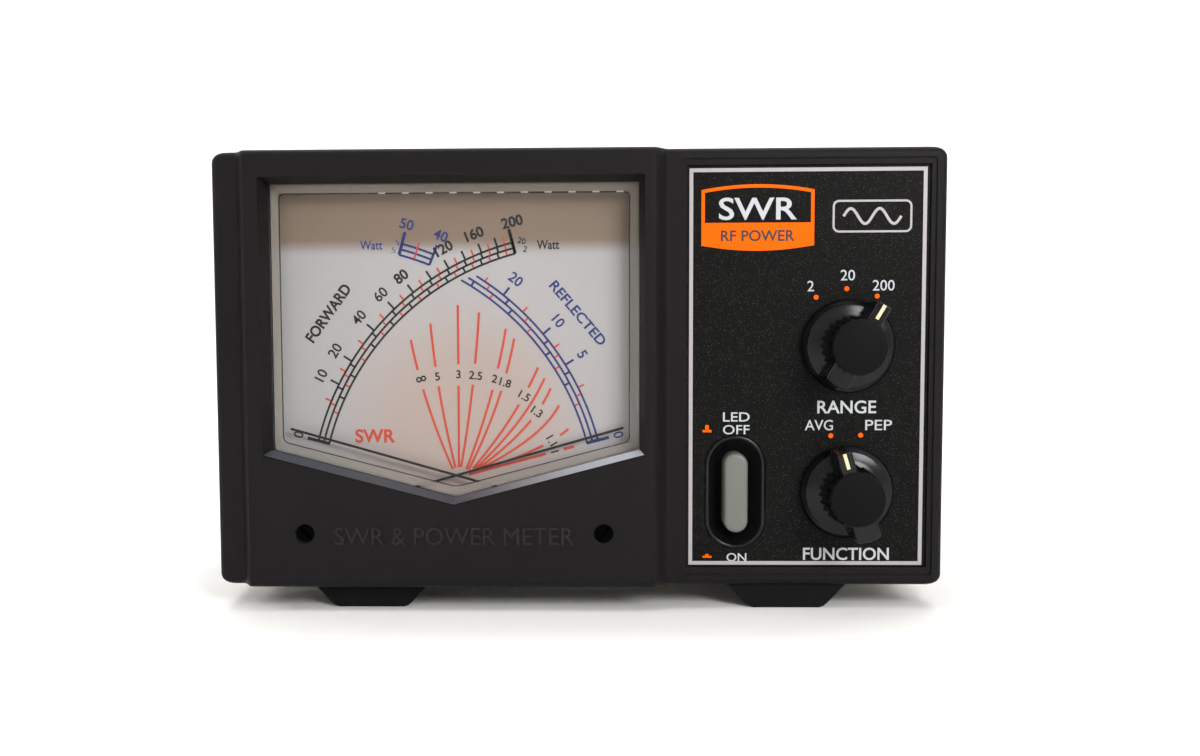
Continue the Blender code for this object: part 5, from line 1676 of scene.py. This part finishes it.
@dataclass
class LampButton:
    """The grey button in its oval dish, and the push switch behind."""

    bench: Workbench
    lip: float = 0.6
    front: float = -1.4

    def build(self) -> None:
        """Builds the dish and the button."""
        self.dish(*self.bench.centre("button_bezel"))
        self.button(*self.bench.centre("led_button"))
        self.bench.dress("dark_phenolic", "led_switch")

    def stadium(self, x: float, z: float, width: float, length: float) -> Outline:
        """Returns an upright oval with straight sides."""
        return round_box(x - width / 2, x + width / 2, z - length / 2, z + length / 2, width / 2,
                         12)

    def dish(self, x: float, z: float) -> None:
        """Lofts the dish from its rounded lip down to the button's hole.

        Args:
            x: How far to the right its middle is.
            z: The height of its middle.
        """
        bm = bmesh.new()
        lip = self.lip
        sizes = ((13.4, 25.8, lip + 0.45), (13.3, 25.7, lip + 0.12), (12.9, 25.3, lip),
                 (12.2, 24.6, lip), (11.8, 24.2, lip + 0.15), (10.6, 23.0, lip + 0.9),
                 (8.4, 20.8, lip + 2.2), (6.4, 18.8, lip + 3.2), (6.1, 18.5, lip + 5.4))
        loft(bm, [(self.stadium(x, z, w, h), depth) for w, h, depth in sizes], capped=False)
        self.bench.piece("button_dish", bm, "knob_abs", "case", "black_abs", ("button_bezel",),
                         smooth=45)

    def button(self, x: float, z: float) -> None:
        """Lofts the button with a soft edge and a faint crown.

        Args:
            x: How far to the right its middle is.
            z: The height of its middle.
        """
        bm = bmesh.new()
        front = self.front
        sizes = ((3.4, 16.1, front), (4.4, 17.1, front + 0.06), (5.0, 17.7, front + 0.3),
                 (5.3, 18.0, front + 0.75), (5.4, 18.1, front + 1.4), (5.4, 18.1, front + 7.4))
        loft(bm, [(self.stadium(x, z, w, h), depth) for w, h, depth in sizes])
        self.bench.piece("button_cap", bm, "button_abs", "lamp_button", "grey_abs",
                         ("led_button",), smooth=50)


# ---------------------------------------------------------------- rear and inside

@dataclass
class Rear:
    """The coaxial sockets, the supply jack, their names, and the electronics inside."""

    bench: Workbench

    def build(self) -> None:
        """Builds what is behind the front."""
        for name in SOCKETS:
            self.socket(name)
        self.names()
        self.bench.dress("dark_phenolic", "dc_jack")
        self.bench.dress("board", "circuit_board")
        self.bench.dress("zinc", "coupler_box")
        self.bench.dress("brass", "coupler_line")

    def socket(self, name: str) -> None:
        """Adds the thread and the flange screws to a coaxial socket, and dresses it.

        Args:
            name: What the socket is for.
        """
        for part, finish in (("socket", "nickel"), ("insulator", "insulator"),
                             ("contact", "brass")):
            self.bench.dress(finish, f"{name}_{part}")
        x, z = self.bench.centre(f"{name}_socket")
        start, end = self.bench.depth(f"{name}_socket")
        thread = self.bench.repeated(Blank.HOOP, 13, ((x, end - 14.6, z),), (0.0, 1.06, 0.0),
                                     (15.45, 0.55, 0.0))
        self.bench.piece(f"{name}_thread", thread, "nickel", "case", "nickel_brass")
        reach = 9.1
        screws = self.bench.repeated(
            Blank.DISC, 2, tuple((x + side, start + 2.2, z - reach) for side in (-reach, reach)),
            (0.0, 0.0, 2 * reach), (4.6, 1.3, 0.0))
        self.bench.piece(f"{name}_flange_screws", screws, "bright_steel", "case", "bright_steel",
                         edge=0.3)

    def names(self) -> None:
        """Prints plain names beside the sockets, read from behind."""
        bm = bmesh.new()
        back = self.bench.depth("rear_panel")[1]
        for word, node in (("TX", "transmitter_socket"), ("ANT", "antenna_socket"),
                           ("DC", "dc_jack")):
            x, z = self.bench.centre(node)
            self.bench.lettering.set(bm, word, 3.6, (-x, z + 18.0), -(back + 0.05), weight=0.006)
        bmesh.ops.rotate(bm, verts=bm.verts, cent=(0.0, 0.0, 0.0),
                         matrix=Matrix.Rotation(math.pi, 3, "Z"))
        self.bench.piece("rear_names", bm, "ink_pale", "case", "printed_plate")


# ---------------------------------------------------------------- studio

@dataclass
class Studio:
    """A pale floor that curves up to a wall, soft lights and a camera close to the front.

    The room in front is dim, so that black surfaces that face the camera stay black. The eye is
    given in millimetres from the middle of the rim's lower edge, and its turns in degrees.
    """

    rim: float
    base: float
    room: float = 0.1
    floor: str = "#f2f1ef"
    wall: float = 1.7
    bend: float = 0.6
    eye: Place = (2.8, -273.0, 60.7)
    pitch: float = -3.93
    yaw: float = -1.62
    roll: float = -0.26
    lens: float = 36.3
    shift: Flat = (0.0372, 0.0201)

    def build(self) -> None:
        """Lays the floor, hangs the lights and sets up the camera."""
        self.lay_floor()
        self.lamp("key", (0.42, -0.75, 0.42), 0.3, 5.8)
        self.lamp("side", (-0.7, -0.25, 0.5), 0.3, 2.2)
        self.lamp("top", (0.0, 0.15, 1.1), 0.9, 4.5)
        self.lamp("backdrop", (0.0, 0.5, 1.3), 1.2, 19.0, (0.0, 1.7, 0.1))
        self.lamp("front wall", (0.0, -0.5, 1.3), 1.2, 4.5, (0.0, -1.7, 0.2))
        world = bpy.data.worlds.new("studio")
        world.use_nodes = True
        sky = world.node_tree.nodes["Background"].inputs
        sky["Color"].default_value = (1.0, 1.0, 1.0, 1.0)
        sky["Strength"].default_value = self.room
        bpy.context.scene.world = world
        bpy.context.scene.view_settings.view_transform = "Standard"
        self.camera()

    def lay_floor(self) -> None:
        """Turns a plain floor at the height of the feet, curved up to a wall all round."""
        steps, round_steps = 16, 96
        line = [(0.0, 0.0), (self.wall - self.bend, 0.0)]
        for i in range(1, steps + 1):
            turn = math.pi / 2 * i / steps
            line.append((self.wall - self.bend + self.bend * math.sin(turn),
                         self.bend - self.bend * math.cos(turn)))
        line.append((self.wall, 3.0))
        bm = bmesh.new()
        centre = bm.verts.new((0.0, 0.0, 0.0))
        rings = [[bm.verts.new((reach * math.cos(2 * math.pi * i / round_steps),
                                reach * math.sin(2 * math.pi * i / round_steps), height))
                  for i in range(round_steps)] for reach, height in line[1:]]
        for i in range(round_steps):
            following = (i + 1) % round_steps
            bm.faces.new((centre, rings[0][i], rings[0][following]))
            for low, high in zip(rings, rings[1:]):
                bm.faces.new((low[i], high[i], high[following], low[following]))
        mesh = bpy.data.meshes.new("floor")
        bm.to_mesh(mesh)
        bm.free()
        mesh.shade_smooth()
        mesh.materials.append(Finish("pale matt floor", self.floor, 0.8).material())
        floor = bpy.data.objects.new("floor", mesh)
        bpy.context.scene.collection.objects.link(floor)

    def lamp(self, name: str, place: Place, size: float, power: float,
             aim: Place = (0.0, 0.0, 0.05)) -> None:
        """Hangs a square soft light.

        Args:
            name: The light's name.
            place: Where it hangs.
            size: The length of its side.
            power: Its power in watts.
            aim: The point that it faces.
        """
        light = bpy.data.lights.new(name, "AREA")
        light.size = size
        light.energy = power
        lamp = bpy.data.objects.new(name, light)
        lamp.location = place
        lamp.rotation_euler = (Vector(aim) - lamp.location).to_track_quat("-Z", "Y").to_euler()
        bpy.context.scene.collection.objects.link(lamp)

    def camera(self) -> None:
        """Sets the camera left of the controls, a little above the middle, and leans it."""
        pitch, yaw, roll = (math.radians(turn) for turn in (self.pitch, self.yaw, self.roll))
        ahead = Vector((math.sin(yaw) * math.cos(pitch), math.cos(yaw) * math.cos(pitch),
                        math.sin(pitch)))
        right = Vector((math.cos(yaw), -math.sin(yaw), 0.0))
        up = right.cross(ahead)
        leaning = right * math.cos(roll) + up * math.sin(roll)
        upright = up * math.cos(roll) - right * math.sin(roll)
        data = bpy.data.cameras.new("camera")
        data.lens = self.lens
        data.sensor_width = 36.0
        data.shift_x, data.shift_y = self.shift
        camera = bpy.data.objects.new("camera", data)
        turn = Matrix((leaning, upright, -ahead)).transposed().to_4x4()
        place = Vector((0.0, self.rim, self.base)) + Vector(self.eye) * MM
        camera.matrix_world = Matrix.Translation(place) @ turn
        bpy.context.scene.collection.objects.link(camera)
        bpy.context.scene.camera = camera


def main() -> None:
    logging.basicConfig(level=logging.INFO, format="%(message)s")
    for obj in list(bpy.data.objects):
        bpy.data.objects.remove(obj, do_unlink=True)
    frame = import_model()
    bench = Workbench(frame)
    Case(bench).build()
    Meter(bench).build()
    Panel(bench).build()
    Knob(bench, "range", 30.5).build()
    Knob(bench, "function", -17.0).build()
    LampButton(bench).build()
    Rear(bench).build()
    Studio(bench.rim, bench.base).build()


if __name__ == "__main__":
    main()
